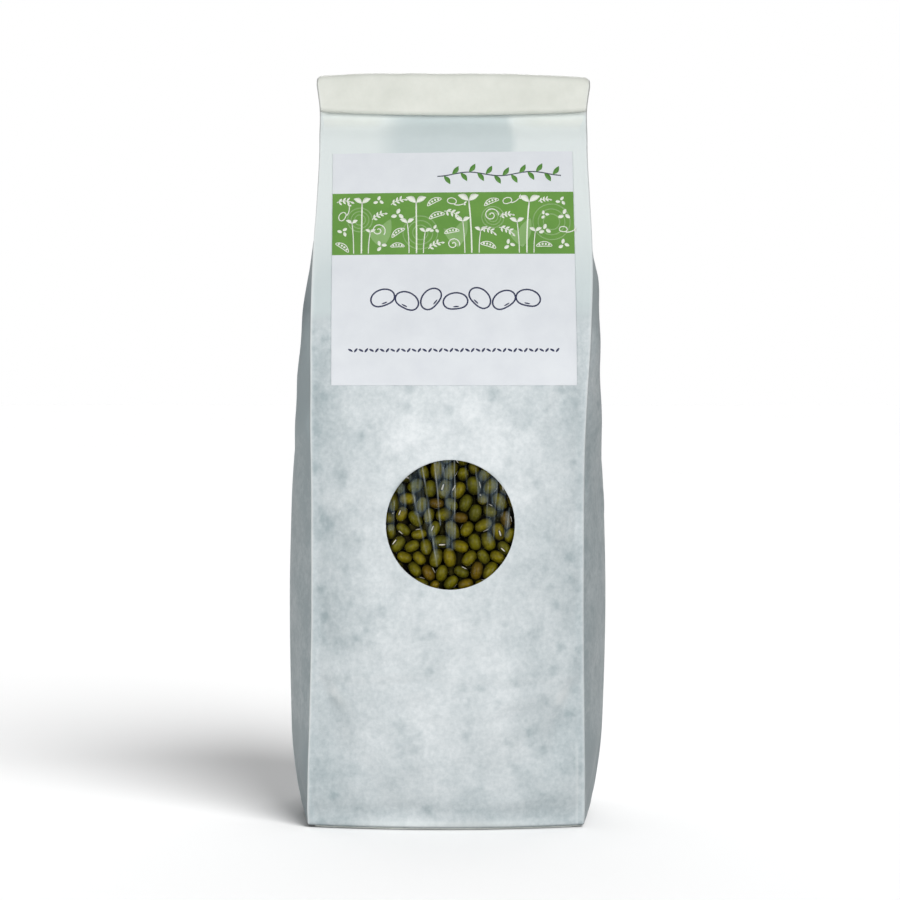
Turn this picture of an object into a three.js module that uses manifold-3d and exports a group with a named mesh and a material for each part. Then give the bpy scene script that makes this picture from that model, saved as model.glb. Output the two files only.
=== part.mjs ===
// A standing side-gusset paper bag, filled with dried mung beans and closed by rolling its top
// forwards twice. A round hole in the front panel is backed by clear film and shows the beans,
// and a square paper label is stuck above it.
//
// Millimetres, +Z up. The origin is the middle of the footprint, and the front panel faces -Y.
// Every long paper surface comes from one family of horizontal sections: at each height a front
// and a back panel, bowed outwards, joined on each side by a gusset with a crease down its middle.

import * as THREE from "three";
import { mergeVertices } from "three/addons/utils/BufferGeometryUtils.js";
import Module from "manifold-3d";

// Driving dimensions.
const PANEL_WIDTH = 80;
const GUSSET_DEPTH = 50;
const NECK_HEIGHT = 207; // where the front and back panels have come together
const TOP_HEIGHT = 218.2; // crest of the rolled top at its middle
const PAPER = 0.6; // modelled paper thickness
const WINDOW = { x: 0.8, z: 87.3, diameter: 36.6 };
const FILM = { side: 48, thickness: 0.4, gap: 0.3 };
const LABEL = { side: 70, thickness: 0.4, gap: 0.25, x: 1.7, z: 160.6, turn: 0.35, rise: 0.97 };
const BEAN = { length: 5.1, width: 4.0, thickness: 3.8 };
const FILL_HEIGHT = 149; // rim of the heap of beans

// Profiles over height, as [height, value] knots joined by a smooth monotone curve.
const CREASE_HALF_WIDTH = [
  [0, 39.3], [14, 39.2], [33, 38.8], [63, 38.4], [92, 38.4], [122, 38.9], [140, 39.5],
  [165, 40], [180, 39.4], [195, 38.9], [NECK_HEIGHT, 39.3],
];
const CREASE_HALF_DEPTH = [
  [0, GUSSET_DEPTH / 2], [33, 24.4], [63, 23.8], [92, 23.6], [122, 23.0], [138, 21.6], [150, 18.8],
  [165, 13.9], [180, 8.9], [192, 5.0], [200, 2.4], [NECK_HEIGHT, 0.5],
];
const PANEL_BOW = [
  [0, 4.5], [10, 5.6], [33, 7.5], [63, 8.7], [92, 8.5], [122, 6.4], [140, 4.8], [165, 2.6],
  [185, 1.9], [198, 1.2], [NECK_HEIGHT, 0.1],
];
const GUSSET_CREASE = [
  [0, 41.7], [8, 43.7], [26, 45.7], [63, 46.4], [92, 45.8], [107, 44.9], [122, 42.9], [137, 40.2],
  [150, 37], [158, 33.5], [165, 29], [172, 25], [180, 21], [192, 17], [NECK_HEIGHT, 15.5],
];
const GUSSET_LOBE = [
  [0, 0.2], [30, 0.8], [92, 1.2], [107, 1.8], [122, 3], [137, 3.5], [150, 4.1], [158, 4.8],
  [165, 4.9], [172, 3.9], [180, 2.2], [192, 1], [NECK_HEIGHT, 0.1],
];
const SWAY = [[0, -0.45], [63, 0], [107, 0.05], [137, 0.8], [164, 1.5], [185, 1.7], [TOP_HEIGHT, 1.7]];

// A function through the knots with no overshoot: cubic pieces whose slopes are harmonic means.
function profile(knots) {
  const step = knots.slice(1).map(([z, v], i) => (v - knots[i][1]) / (z - knots[i][0]));
  const slope = knots.map((_, i) => {
    const [before, after] = [step[i - 1], step[i]];
    if (before === undefined || after === undefined) return before ?? after;
    return before * after > 0 ? (2 * before * after) / (before + after) : 0;
  });
  return (z) => {
    let i = 0;
    while (i < knots.length - 2 && z > knots[i + 1][0]) i++;
    const [[z0, v0], [z1, v1]] = [knots[i], knots[i + 1]];
    const h = z1 - z0;
    const t = THREE.MathUtils.clamp((z - z0) / h, 0, 1);
    const rest = 1 - t;
    return (
      v0 * rest * rest * (1 + 2 * t) + v1 * t * t * (1 + 2 * rest) +
      slope[i] * h * t * rest * rest - slope[i + 1] * h * t * t * rest
    );
  };
}

const creaseHalfWidth = profile(CREASE_HALF_WIDTH);
const creaseHalfDepth = profile(CREASE_HALF_DEPTH);
const panelBow = profile(PANEL_BOW);
const gussetCrease = profile(GUSSET_CREASE);
const gussetLobe = profile(GUSSET_LOBE);
const sway = profile(SWAY);

// The edge round the foot is slightly rounded: how far the walls draw in at height z.
const FOOT_RADIUS = 1.4;
const footInset = (z) => {
  const rise = THREE.MathUtils.clamp(1 - z / FOOT_RADIUS, 0, 1);
  return FOOT_RADIUS * (1 - Math.sqrt(1 - rise * rise));
};

// Front panel (side -1) or back panel (side 1): u runs from -1 to 1 between its creases, at height z.
const panelPoint = (side) => (u, z) => {
  const inset = footInset(z);
  const depth = creaseHalfDepth(z) + panelBow(z) * (1 - u * u) - inset;
  return new THREE.Vector3(sway(z) + u * (creaseHalfWidth(z) - inset), side * depth, z);
};

// Half a gusset, v from 0 at the panel's crease to 1 at the middle crease, bowed out by its lobe.
const gussetPoint = (end, side) => (v, z) => {
  const inset = footInset(z);
  const edge = new THREE.Vector2(creaseHalfWidth(z) - inset, creaseHalfDepth(z) - inset);
  const middle = new THREE.Vector2(gussetCrease(z) - inset, 0);
  const along = middle.clone().sub(edge);
  const out = new THREE.Vector2(-along.y, along.x).normalize();
  const point = edge.addScaledVector(along, v).addScaledVector(out, gussetLobe(z) * 4 * v * (1 - v));
  return new THREE.Vector3(sway(z) + end * point.x, side * point.y, z);
};

const wasm = await Module();
wasm.setup();

// A closed three.js geometry as a manifold-3d solid, and back again.
function solid(geometry) {
  const bare = geometry.clone();
  bare.deleteAttribute("normal");
  bare.deleteAttribute("uv");
  const merged = mergeVertices(bare, 1e-4);
  return new wasm.Manifold(
    new wasm.Mesh({
      numProp: 3,
      vertProperties: new Float32Array(merged.attributes.position.array),
      triVerts: new Uint32Array(merged.index.array),
    }),
  );
}

function geometryOf(body) {
  const mesh = body.getMesh();
  return new THREE.BufferGeometry()
    .setAttribute("position", new THREE.BufferAttribute(new Float32Array(mesh.vertProperties), 3))
    .setIndex(new THREE.BufferAttribute(new Uint32Array(mesh.triVerts), 1));
}

// Joins solids, fills any hollow that joining seals, and drops loose scraps.
function fuse(solids) {
  const joined = solids.reduce((a, b) => a.add(b));
  return joined
    .decompose()
    .filter((body) => body.volume() > 0)
    .reduce((a, b) => (a.volume() > b.volume() ? a : b));
}

// Triangles between neighbouring rows of equally many points, wrapping round each row. From point
// `back` on, squares are split along their other diagonal, so that the two faces of a sheet, whose
// rows go out along the one and back along the other, are split alike.
function wallTriangles(rows, back = rows[0].length) {
  const width = rows[0].length;
  const index = [];
  for (let r = 0; r < rows.length - 1; r++) {
    for (let i = 0; i < width; i++) {
      const [a, b] = [r * width + i, r * width + ((i + 1) % width)];
      if (i < back) index.push(a, b, b + width, a, b + width, a + width);
      else index.push(a, b, a + width, b, b + width, a + width);
    }
  }
  return index;
}

const indexed = (positions, index) => new THREE.BufferGeometry().setFromPoints(positions).setIndex(index);

// A lump from level rings of equally many points, with a fan on the first and the last ring.
function lump(rings) {
  const width = rings[0].length;
  const positions = rings.flat();
  const centre = (ring) => ring.reduce((sum, p) => sum.add(p), new THREE.Vector3()).divideScalar(width);
  const [first, last] = [positions.push(centre(rings[0])) - 1, positions.push(centre(rings.at(-1))) - 1];
  const index = wallTriangles(rings);
  const top = (rings.length - 1) * width;
  for (let i = 0; i < width; i++) {
    const next = (i + 1) % width;
    index.push(first, next, i, last, top + i, top + next);
  }
  return solid(indexed(positions, index));
}

// A sheet of even thickness over the surface point(s, t), from offset `low` to `high` along its
// level normal, so that a row at one height stays at that height. Each row goes out along the one
// face and back along the other.
function sheet(point, sValues, tValues, low, high) {
  const NUDGE = 0.01;
  const up = new THREE.Vector3(0, 0, 1);
  const offset = (s, t, distance) => {
    const along = point(s + NUDGE, t).sub(point(s - NUDGE, t));
    return point(s, t).addScaledVector(along.cross(up).normalize(), distance);
  };
  const rows = tValues.map((t) => [
    ...sValues.map((s) => offset(s, t, high)),
    ...[...sValues].reverse().map((s) => offset(s, t, low)),
  ]);
  // The first and the last row are closed by a flat strip between their two faces.
  const width = rows[0].length;
  const index = wallTriangles(rows, sValues.length);
  const top = (rows.length - 1) * width;
  for (let i = 0; i < sValues.length - 1; i++) {
    const [a, b, c, d] = [i, i + 1, width - 2 - i, width - 1 - i];
    index.push(a, c, b, a, d, c);
    index.push(top + a, top + b, top + c, top + a, top + c, top + d);
  }
  return solid(indexed(rows.flat(), index));
}

// Evenly spaced values from one number to another, both included.
const steps = (from, to, count) =>
  Array.from({ length: count + 1 }, (_, i) => THREE.MathUtils.lerp(from, to, i / count));

// Heights where the sections are taken: close together where the paper turns quickly.
const ROWS = [
  0, 0.5, FOOT_RADIUS, 10, 24, 42, 63, 84, 104, 120, 132, 142, 151, 159, 167, 175, 184, 193, 200.5,
  NECK_HEIGHT,
];

// --- Paper bag ---

const ACROSS_PANEL = steps(-1, 1, 12);
const ACROSS_GUSSET = steps(0, 1, 5);
const paperWall = (point, across) => sheet(point, across, ROWS, -PAPER / 2, PAPER / 2);
const panelSheet = (side) => paperWall(panelPoint(side), ACROSS_PANEL);
const gussetSheet = (end, side) => paperWall(gussetPoint(end, side), ACROSS_GUSSET);

// The outline of the section at height z, counter-clockwise seen from above.
function outline(z) {
  const side = (point, values) => values.slice(0, -1).map((value) => point(value, z));
  return [
    ...side(panelPoint(-1), ACROSS_PANEL),
    ...side(gussetPoint(1, -1), ACROSS_GUSSET),
    ...side(gussetPoint(1, 1), [...ACROSS_GUSSET].reverse()),
    ...side(panelPoint(1), [...ACROSS_PANEL].reverse()),
    ...side(gussetPoint(-1, 1), ACROSS_GUSSET),
    ...side(gussetPoint(-1, -1), [...ACROSS_GUSSET].reverse()),
  ];
}

// A ring drawn in by an amount that may differ from point to point.
const drawnIn = (ring, amount) =>
  ring.map((p, i) => {
    const along = ring[(i + 1) % ring.length].clone().sub(ring.at(i - 1));
    const inwards = new THREE.Vector3(-along.y, along.x, 0).normalize();
    return p.clone().addScaledVector(inwards, amount(p));
  });

// The block bottom: a flat plate that fills the footprint.
function bottomPlate() {
  const shape = new THREE.Shape(outline(0).map((p) => new THREE.Vector2(p.x, p.y)));
  return solid(new THREE.ExtrudeGeometry(shape, { depth: PAPER, bevelEnabled: false }));
}

// A strip of even thickness along a centre line in the (y, z) plane, as a shape.
function stripShape(line, thickness) {
  const edge = (sign) =>
    line.map((p, i) => {
      const along = (line[i + 1] ?? p).clone().sub(line[i - 1] ?? p).normalize();
      return new THREE.Vector2(p.x - sign * along.y * thickness / 2, p.y + sign * along.x * thickness / 2);
    });
  return new THREE.Shape([...edge(-1), ...edge(1).reverse()]);
}

// The rolled top: both panels run up together, over the crest, down the front as a flap, round its
// lower edge and up again inside it. Seen from the side it is a flat spiral.
const ROLL = {
  ply: 1.2, // two papers, one on the other
  crestRadius: 1.9,
  hemRadius: 0.85,
  hemHeight: 206.25, // middle of the turn at the flap's lower edge
  hemForward: 4.6, // how far the outer run stands forwards there
  tailHeight: 213.5,
};

function rollCentreLine() {
  const { ply, crestRadius, hemRadius, hemHeight, hemForward, tailHeight } = ROLL;
  const crest = TOP_HEIGHT - ply / 2 - crestRadius;
  const arc = (cy, cz, radius, from, to, count) =>
    steps(from, to, count).map(
      (angle) => new THREE.Vector2(cy + radius * Math.cos(angle), cz + radius * Math.sin(angle)),
    );
  return [
    new THREE.Vector2(0, NECK_HEIGHT - 3),
    ...arc(-crestRadius, crest, crestRadius, 0, Math.PI, 6),
    ...arc(-hemForward + hemRadius, hemHeight, hemRadius, -Math.PI, 0, 5),
    new THREE.Vector2(-crestRadius, tailHeight),
  ];
}

// Towards its ends the flap is lower at the crest and higher at the hem, where the gussets thicken it.
const ROLL_END_SHRINK = { crest: 1.1, hem: 1.2 };

function roll() {
  const length = PANEL_WIDTH + 0.2;
  const geometry = new THREE.ExtrudeGeometry(stripShape(rollCentreLine(), ROLL.ply), {
    depth: length, steps: 10, bevelEnabled: false,
  });
  // The extrusion's own x, y and z become the bag's y, z and x.
  geometry.applyMatrix4(new THREE.Matrix4().makeBasis(
    new THREE.Vector3(0, 1, 0), new THREE.Vector3(0, 0, 1), new THREE.Vector3(1, 0, 0),
  ));
  geometry.translate(sway(TOP_HEIGHT) - length / 2, 0, 0);
  const position = geometry.attributes.position;
  for (let i = 0; i < position.count; i++) {
    const end = (position.getX(i) - sway(TOP_HEIGHT)) / (length / 2);
    const up = THREE.MathUtils.inverseLerp(ROLL.hemHeight, TOP_HEIGHT, position.getZ(i));
    const shift = THREE.MathUtils.lerp(ROLL_END_SHRINK.hem, -ROLL_END_SHRINK.crest, up) * end * end;
    position.setZ(i, position.getZ(i) + shift);
  }
  return solid(geometry);
}

function paperBag() {
  // The punch goes through the front panel only.
  const punch = new THREE.CylinderGeometry(WINDOW.diameter / 2, WINDOW.diameter / 2, GUSSET_DEPTH, 48);
  punch.translate(WINDOW.x, -GUSSET_DEPTH * 0.75, WINDOW.z);
  const front = panelSheet(-1).subtract(solid(punch));
  const gussets = [-1, 1].flatMap((side) => [gussetSheet(-1, side), gussetSheet(1, side)]);
  return fuse([front, panelSheet(1), ...gussets, bottomPlate(), roll()]);
}

// --- Window film and label: flat squares laid on the front panel ---

// A square laid on the front panel, as a sheet from offset `low` to `high`. `x` and `z` give its
// middle, `turn` its turn in degrees, and `rise` the height gained for each millimetre up it.
function squareOnFront({ side, x, z, turn = 0, rise = 1 }, low, high) {
  const angle = THREE.MathUtils.degToRad(turn);
  const place = (s, t) => {
    const height = z + (t * Math.cos(angle) + s * Math.sin(angle)) * rise;
    const across = x + s * Math.cos(angle) - t * Math.sin(angle) - sway(height);
    return panelPoint(-1)(across / creaseHalfWidth(height), height);
  };
  const across = steps(-side / 2, side / 2, 10);
  return sheet(place, across, across, low, high);
}

function filmPatch() {
  const outer = -PAPER / 2 - FILM.gap;
  return squareOnFront({ side: FILM.side, x: WINDOW.x, z: WINDOW.z }, outer - FILM.thickness, outer);
}

function labelSquare() {
  const inner = PAPER / 2 + LABEL.gap;
  return squareOnFront(LABEL, inner, inner + LABEL.thickness);
}

// --- Mung beans: a core that fills the bag, with single beans standing out of it at the window ---

const BEAN_ZONE = 21.5; // beans are placed up to this far from the window's middle
const BEAN_SPACING = 4.35;
const WALL_CLEARANCE = 1.0; // core to paper
const WINDOW_CLEARANCE = 3.4; // core to paper behind the window, where the beans stand out
const BEHIND_FILM = PAPER / 2 + FILM.gap + FILM.thickness + 0.35; // panel's middle to the first bean
const SEED = 7;

// A small seeded generator of numbers from 0 to 1.
function generator(seed) {
  let state = seed;
  return () => {
    state = (state * 1664525 + 1013904223) % 4294967296;
    return state / 4294967296;
  };
}

function beanCore() {
  const heights = [1.6, 8, 24, 42, 56, 65, 74, 87, 100, 109, 118, 132, 142, FILL_HEIGHT];
  const clearance = (p) => {
    const fromWindow = Math.hypot(p.x - WINDOW.x, p.z - WINDOW.z);
    const near = p.y < 0 ? 1 - THREE.MathUtils.smoothstep(fromWindow, BEAN_ZONE - 3, BEAN_ZONE + 5) : 0;
    return PAPER / 2 + THREE.MathUtils.lerp(WALL_CLEARANCE, WINDOW_CLEARANCE, near);
  };
  const rings = heights.map((z) => drawnIn(outline(z), clearance));
  // The heap's top is a low mound: the rim's ring again, smaller and higher.
  const rim = rings.at(-1);
  for (const [size, rise] of [[0.8, 1.8], [0.45, 3.2]]) {
    rings.push(rim.map((p) => new THREE.Vector3(p.x * size, p.y * size, FILL_HEIGHT + rise)));
  }
  return lump(rings);
}

// Beans in staggered rows with seeded jitter, each lying flat against the film and turned at random.
function windowBeans() {
  const random = generator(SEED);
  const jitter = (amount) => (random() - 0.5) * 2 * amount;
  const front = panelPoint(-1);
  const rowStep = BEAN_SPACING * Math.sqrt(3) / 2;
  const beans = [];
  const rows = Math.floor(BEAN_ZONE / rowStep);
  for (let row = -rows; row <= rows; row++) {
    const stagger = row % 2 ? BEAN_SPACING / 2 : 0;
    for (let column = -8; column <= 8; column++) {
      const x = column * BEAN_SPACING + stagger + jitter(0.5);
      const z = row * rowStep + jitter(0.5);
      if (Math.hypot(x, z) > BEAN_ZONE) continue;
      const height = WINDOW.z + z;
      const onPanel = front((WINDOW.x + x - sway(height)) / creaseHalfWidth(height), height);
      const size = 0.94 + 0.12 * random();
      const bean = new THREE.SphereGeometry(0.5, 7, 5);
      bean.scale(BEAN.length * size, BEAN.thickness * size, BEAN.width * size);
      bean.rotateY(random() * Math.PI);
      const behind = BEHIND_FILM + (BEAN.thickness * size) / 2 + 0.3 * random();
      bean.translate(onPanel.x, onPanel.y + behind, onPanel.z);
      beans.push(solid(bean));
    }
  }
  return beans;
}

const mungBeans = () => fuse([beanCore(), ...windowBeans()]);

// --- The assembly ---

const FINISH = {
  paper: { color: 0xdfe4e3, roughness: 0.62, metalness: 0 },
  film: { color: 0xe8eef2, roughness: 0.08, metalness: 0, transparent: true, opacity: 0.25 },
  label: { color: 0xe9ebf1, roughness: 0.5, metalness: 0 },
  bean: { color: 0x6b6a1c, roughness: 0.45, metalness: 0 },
};

function part(name, body, finish) {
  const mesh = new THREE.Mesh(geometryOf(body), new THREE.MeshStandardMaterial(finish));
  mesh.name = name;
  return mesh;
}

const bag = new THREE.Group();
bag.add(
  part("paper_bag", paperBag(), FINISH.paper),
  part("window_film", filmPatch(), FINISH.film),
  part("label", labelSquare(), FINISH.label),
  part("mung_beans", mungBeans(), FINISH.bean),
);

export default bag;
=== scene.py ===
"""A standing white paper bag of dried mung beans, dressed over its solids.

The bag is one sheet of paper: a front and a back panel joined by two gussets, folded under at the
foot and rolled forwards twice at the top. A round hole in the front shows the beans behind a patch
of clear film, and a square printed label is stuck above it.

Sizes are millimetres and become metres where a mesh is made. +Z is up and the front faces -Y.
"""

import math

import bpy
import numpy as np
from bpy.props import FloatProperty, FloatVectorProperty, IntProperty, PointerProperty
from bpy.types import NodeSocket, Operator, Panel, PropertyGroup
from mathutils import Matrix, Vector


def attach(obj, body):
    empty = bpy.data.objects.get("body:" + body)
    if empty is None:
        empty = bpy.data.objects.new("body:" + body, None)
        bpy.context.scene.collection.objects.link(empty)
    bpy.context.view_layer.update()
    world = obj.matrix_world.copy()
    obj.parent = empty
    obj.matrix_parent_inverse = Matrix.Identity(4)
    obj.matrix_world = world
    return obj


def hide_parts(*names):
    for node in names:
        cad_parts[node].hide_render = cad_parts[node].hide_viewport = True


bl_info = {
    "name": "Paper Bag of Mung Beans",
    "version": (1, 0, 0),
    "blender": (4, 5, 0),
    "location": "3D View > Sidebar > Bean Bag",
    "description": "Builds a rolled paper bag with a label, a film window and the beans behind it",
    "category": "Object",
}

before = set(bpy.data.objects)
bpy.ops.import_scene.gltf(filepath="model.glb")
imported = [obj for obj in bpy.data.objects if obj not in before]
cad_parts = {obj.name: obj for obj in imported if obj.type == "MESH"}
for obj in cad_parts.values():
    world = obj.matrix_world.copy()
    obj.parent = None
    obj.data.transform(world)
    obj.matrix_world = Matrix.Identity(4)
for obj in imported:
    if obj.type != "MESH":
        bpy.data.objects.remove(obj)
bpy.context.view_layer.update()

MM = 0.001

# --- Curves ---


def linear(hex_colour):
    """An sRGB hex value as linear light: c / 12.92 up to 0.04045, else ((c + 0.055) / 1.055)^2.4."""
    srgb = np.array([int(hex_colour[i : i + 2], 16) for i in (1, 3, 5)]) / 255
    light = np.where(srgb <= 0.04045, srgb / 12.92, ((srgb + 0.055) / 1.055) ** 2.4)
    return tuple(float(c) for c in light)


def profile(*knots):
    """A smooth curve through (height, value) knots with no overshoot: cubic pieces whose slope at
    each knot is the harmonic mean of the slopes of the straight lines beside it."""
    z, v = np.array(knots, float).T
    step = np.diff(v) / np.diff(z)
    product = step[:-1] * step[1:]
    total = np.where(product > 0, step[:-1] + step[1:], 1)
    slope = np.concatenate([step[:1], np.where(product > 0, 2 * product / total, 0), step[-1:]])

    def at(height):
        i = np.clip(np.searchsorted(z, height, side="right") - 1, 0, len(z) - 2)
        h = z[i + 1] - z[i]
        t = np.clip((height - z[i]) / h, 0, 1)
        rest = 1 - t
        ends = v[i] * rest**2 * (1 + 2 * t) + v[i + 1] * t**2 * (1 + 2 * rest)
        return ends + h * t * rest * (slope[i] * rest - slope[i + 1] * t)

    return at


def ease(low, high, value):
    """0 at low and before it, 1 at high and after it, and 3t^2 - 2t^3 between them. Where low is the
    greater of the two, it falls as the value rises."""
    t = np.clip((value - low) / (high - low), 0, 1)
    return t * t * (3 - 2 * t)


def ridge(distance, width):
    """A bell of height 1: exp(-(distance / width)^2)."""
    return np.exp(-((distance / width) ** 2))


def ripple(x, z, length, seed, waves=16):
    """Smooth random relief of about unit height: sine waves of about one length, in seeded
    directions and phases, added up and divided by the square root of half their number."""
    rng = np.random.default_rng(seed)
    angle, phase = rng.uniform(0, 2 * np.pi, (2, waves))
    pitch = 2 * np.pi / (length * rng.uniform(0.7, 1.5, waves))
    total = np.zeros(np.broadcast(x, z).shape)
    for a, p, k in zip(angle, phase, pitch):
        total += np.sin(k * (np.cos(a) * x + np.sin(a) * z) + p)
    return total / math.sqrt(waves / 2)


def from_segment(x, z, start, end):
    """Distance of points (x, z) from the straight line between two points."""
    (x0, z0), (x1, z1) = start, end
    dx, dz = x1 - x0, z1 - z0
    t = np.clip(((x - x0) * dx + (z - z0) * dz) / (dx * dx + dz * dz), 0, 1)
    return np.hypot(x - x0 - t * dx, z - z0 - t * dz)


def spread(*stretches):
    """Values over (start, end, step) stretches that follow each other, evenly spaced in each."""
    parts = []
    for start, end, step in stretches:
        count = max(1, round(abs(end - start) / step))
        parts.append(np.linspace(start, end, count, endpoint=False))
    return np.concatenate([*parts, [stretches[-1][1]]])


def beside(*arrays):
    """Arrays of coordinates or values stretched to one shape and put side by side."""
    return np.stack(np.broadcast_arrays(*arrays), axis=-1)


def unit(vectors):
    """Vectors scaled to length 1."""
    return vectors / np.linalg.norm(vectors, axis=-1, keepdims=True)


# --- Driving sizes, the same as the solids' ---

NECK_HEIGHT = 207.0  # where the front and back panels have come together
TOP_HEIGHT = 218.2  # crest of the rolled top at its middle
FOOT_RADIUS = 1.4
FILL_HEIGHT = 149.0  # rim of the heap of beans
OUTER_FACE = 0.3  # the solids' outer face, from the middle of their paper
WINDOW_X, WINDOW_Z, WINDOW_RADIUS = 0.8, 87.3, 18.3
LABEL_X, LABEL_Z, LABEL_TURN, LABEL_RISE = 1.7, 160.6, math.radians(0.35), 0.97

crease_half_width = profile(
    (0, 39.3), (14, 39.2), (33, 38.8), (63, 38.4), (92, 38.4), (122, 38.9), (140, 39.5), (165, 40),
    (180, 39.4), (195, 38.9), (NECK_HEIGHT, 39.3),
)
crease_half_depth = profile(
    (0, 25), (33, 24.4), (63, 23.8), (92, 23.6), (122, 23.0), (138, 21.6), (150, 18.8), (165, 13.9),
    (180, 8.9), (192, 5.0), (200, 2.4), (NECK_HEIGHT, 0.5),
)
panel_bow = profile(
    (0, 4.5), (10, 5.6), (33, 7.5), (63, 8.7), (92, 8.5), (122, 6.4), (140, 4.8), (165, 2.6),
    (185, 1.9), (198, 1.2), (NECK_HEIGHT, 0.1),
)
gusset_crease = profile(
    (0, 41.7), (8, 43.7), (26, 45.7), (63, 46.4), (92, 45.8), (107, 44.9), (122, 42.9), (137, 40.2),
    (150, 37), (158, 33.5), (165, 29), (172, 25), (180, 21), (192, 17), (NECK_HEIGHT, 15.5),
)
gusset_lobe = profile(
    (0, 0.2), (30, 0.8), (92, 1.2), (107, 1.8), (122, 3), (137, 3.5), (150, 4.1), (158, 4.8),
    (165, 4.9), (172, 3.9), (180, 2.2), (192, 1), (NECK_HEIGHT, 0.1),
)
sway = profile(
    (0, -0.45), (63, 0), (107, 0.05), (137, 0.8), (164, 1.5), (185, 1.7), (TOP_HEIGHT, 1.7)
)

# The rolled top, seen from the side: up at the back, over the crest, down the flap, round its hem
# and up again inside it. The hem is pressed 0.35 mm closer to the neck than the solids' is.
CREST_RADIUS = 1.9
HEM_RADIUS = 0.85
HEM_HEIGHT = 206.25
HEM_FORWARD = 4.25
TAIL_HEIGHT = 213.5
STACK_HALF = 0.45  # the outer two of the four papers, from the middle of the stack
STACK_INNER = 0.15  # the inner two
STACK_EDGE = 0.3  # all of them at the stack's edge, where they join

# --- Relief ---

# Each is (start, end, width, height): soft dents in the front panel, low swellings beside them, and
# soft upright dents in the flap of the rolled top, above its hem.
FRONT_DENTS = [
    ((-35.6, 41.5), (-33.2, 36.0), 1.9, -0.40), ((-34.6, 37.5), (-30.0, 23.5), 2.8, -0.34),
    ((35.4, 41.0), (33.6, 36.5), 1.9, -0.40), ((35.2, 38.5), (30.2, 23.5), 2.8, -0.36),
    ((31.0, 124.0), (34.5, 117.0), 0.9, -0.25), ((33.6, 127.0), (29.8, 119.5), 0.8, -0.20),
    ((-36.2, 118.0), (-31.0, 112.0), 1.0, -0.15), ((-33.0, 203.0), (-22.0, 200.5), 1.2, -0.30),
    ((18.0, 203.5), (27.0, 199.5), 1.2, -0.30), ((-30.0, 52.0), (-12.0, 47.0), 1.4, -0.12),
    ((8.0, 30.0), (24.0, 34.0), 1.6, -0.12),
]
SWELLS_BY_CREASES = [
    ((-32.0, 39.5), (-30.5, 37.0), 1.6, 0.35), ((33.0, 39.0), (31.5, 36.5), 1.6, 0.35),
]
SWELLS_UNDER_ROLL = [
    ((-25.0, 205.0), (-30.0, 203.8), 2.0, 0.25), ((22.0, 205.0), (33.0, 204.0), 2.0, 0.30),
]
FLAP_DENTS = [
    ((4.6, 218.5), (8.0, 214.5), 1.3, -0.60), ((-11.0, 212.5), (-8.6, 208.5), 1.2, -0.50),
    ((-27.0, 211.0), (-22.0, 209.5), 1.6, -0.35), ((24.0, 216.0), (29.0, 213.5), 2.0, -0.35),
]
FOLD_HEIGHT = 42.0  # crease left where the flat bag's bottom was folded up
PINCH = 0.38  # a crease between two faces of the bag is pinched: it stands out by this much,
PINCH_WIDTH = 0.5  # over this width


def panel_relief(side, x, z):
    """How far a panel stands out of its smooth bow: seeded ripples where the beans press on it, a
    groove above the glued foot, the flat bag's fold line, and on the front its dents."""
    full = 1 - ease(FILL_HEIGHT - 8, FILL_HEIGHT + 6, z)
    height = 0.22 * ripple(x, z, 27, 11 + side) + 0.07 * full * ripple(x, z, 8.5, 21 + side) - 0.2
    height = height - 0.40 * ridge(z - 5.0 - 0.35 * ripple(x, 0 * x, 22, 5), 2.6)
    wander = 0.5 * ripple(x, 0 * x, 30, 31 + side)
    height = height - 0.07 * ridge(z - FOLD_HEIGHT - wander, 0.8)
    height = height + 0.05 * ridge(z - FOLD_HEIGHT - 1.8 - wander, 1.4)
    for start, end, width, rise in FRONT_DENTS + SWELLS_BY_CREASES + SWELLS_UNDER_ROLL:
        height = height + (side < 0) * rise * ridge(from_segment(x, z, start, end), width)
    from_crease = crease_half_width(z) - np.abs(x - sway(z))
    height = height - 0.10 * ridge(from_crease - 1.6, 0.5) * (x > 0) * ease(30, 16, z)
    return height * ease(0, 2.2, from_crease) * ease(1.2, 3, z) * (1 - ease(199, 206, z))


def pinch_height(z):
    """The pinch dies out at the foot and above the shoulders."""
    return PINCH * ease(0, 6, z) * (1 - 0.8 * ease(145, 172, z))


def front_depth(x, z):
    """How far the front panel's smooth bow is from the bag's middle plane: the creases' depth, and
    the bow, which falls off as 1 - u^2 towards them."""
    u = (x - sway(z)) / crease_half_width(z)
    return crease_half_depth(z) + panel_bow(z) * (1 - u * u)


def front_point(x, z, lift=0.0):
    """Points over the front panel and its relief, `lift` outside the solids' outer face."""
    return beside(x, -(front_depth(x, z) + panel_relief(-1, x, z) + OUTER_FACE + lift), z)


# --- The paper's rows: heights up the bag, from under its foot to the end of the roll ---


def roll_path():
    """The stack's middle line above the neck as (length, y, z): a straight run, half a turn over
    the crest, a straight flap, half a turn round the hem and the tail."""
    crest = TOP_HEIGHT - 0.6 - CREST_RADIUS
    over = np.linspace(0, np.pi, 25)
    hem = np.linspace(-np.pi, 0, 17)
    y = np.concatenate([
        [0], CREST_RADIUS * (np.cos(over) - 1), HEM_RADIUS * (np.cos(hem) + 1) - HEM_FORWARD,
        [-CREST_RADIUS],
    ])
    z = np.concatenate([
        [NECK_HEIGHT], crest + CREST_RADIUS * np.sin(over), HEM_HEIGHT + HEM_RADIUS * np.sin(hem),
        [TAIL_HEIGHT],
    ])
    return np.concatenate([[0], np.cumsum(np.hypot(np.diff(y), np.diff(z)))]), y, z


ROLL_LENGTH, ROLL_Y, ROLL_Z = roll_path()
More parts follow.
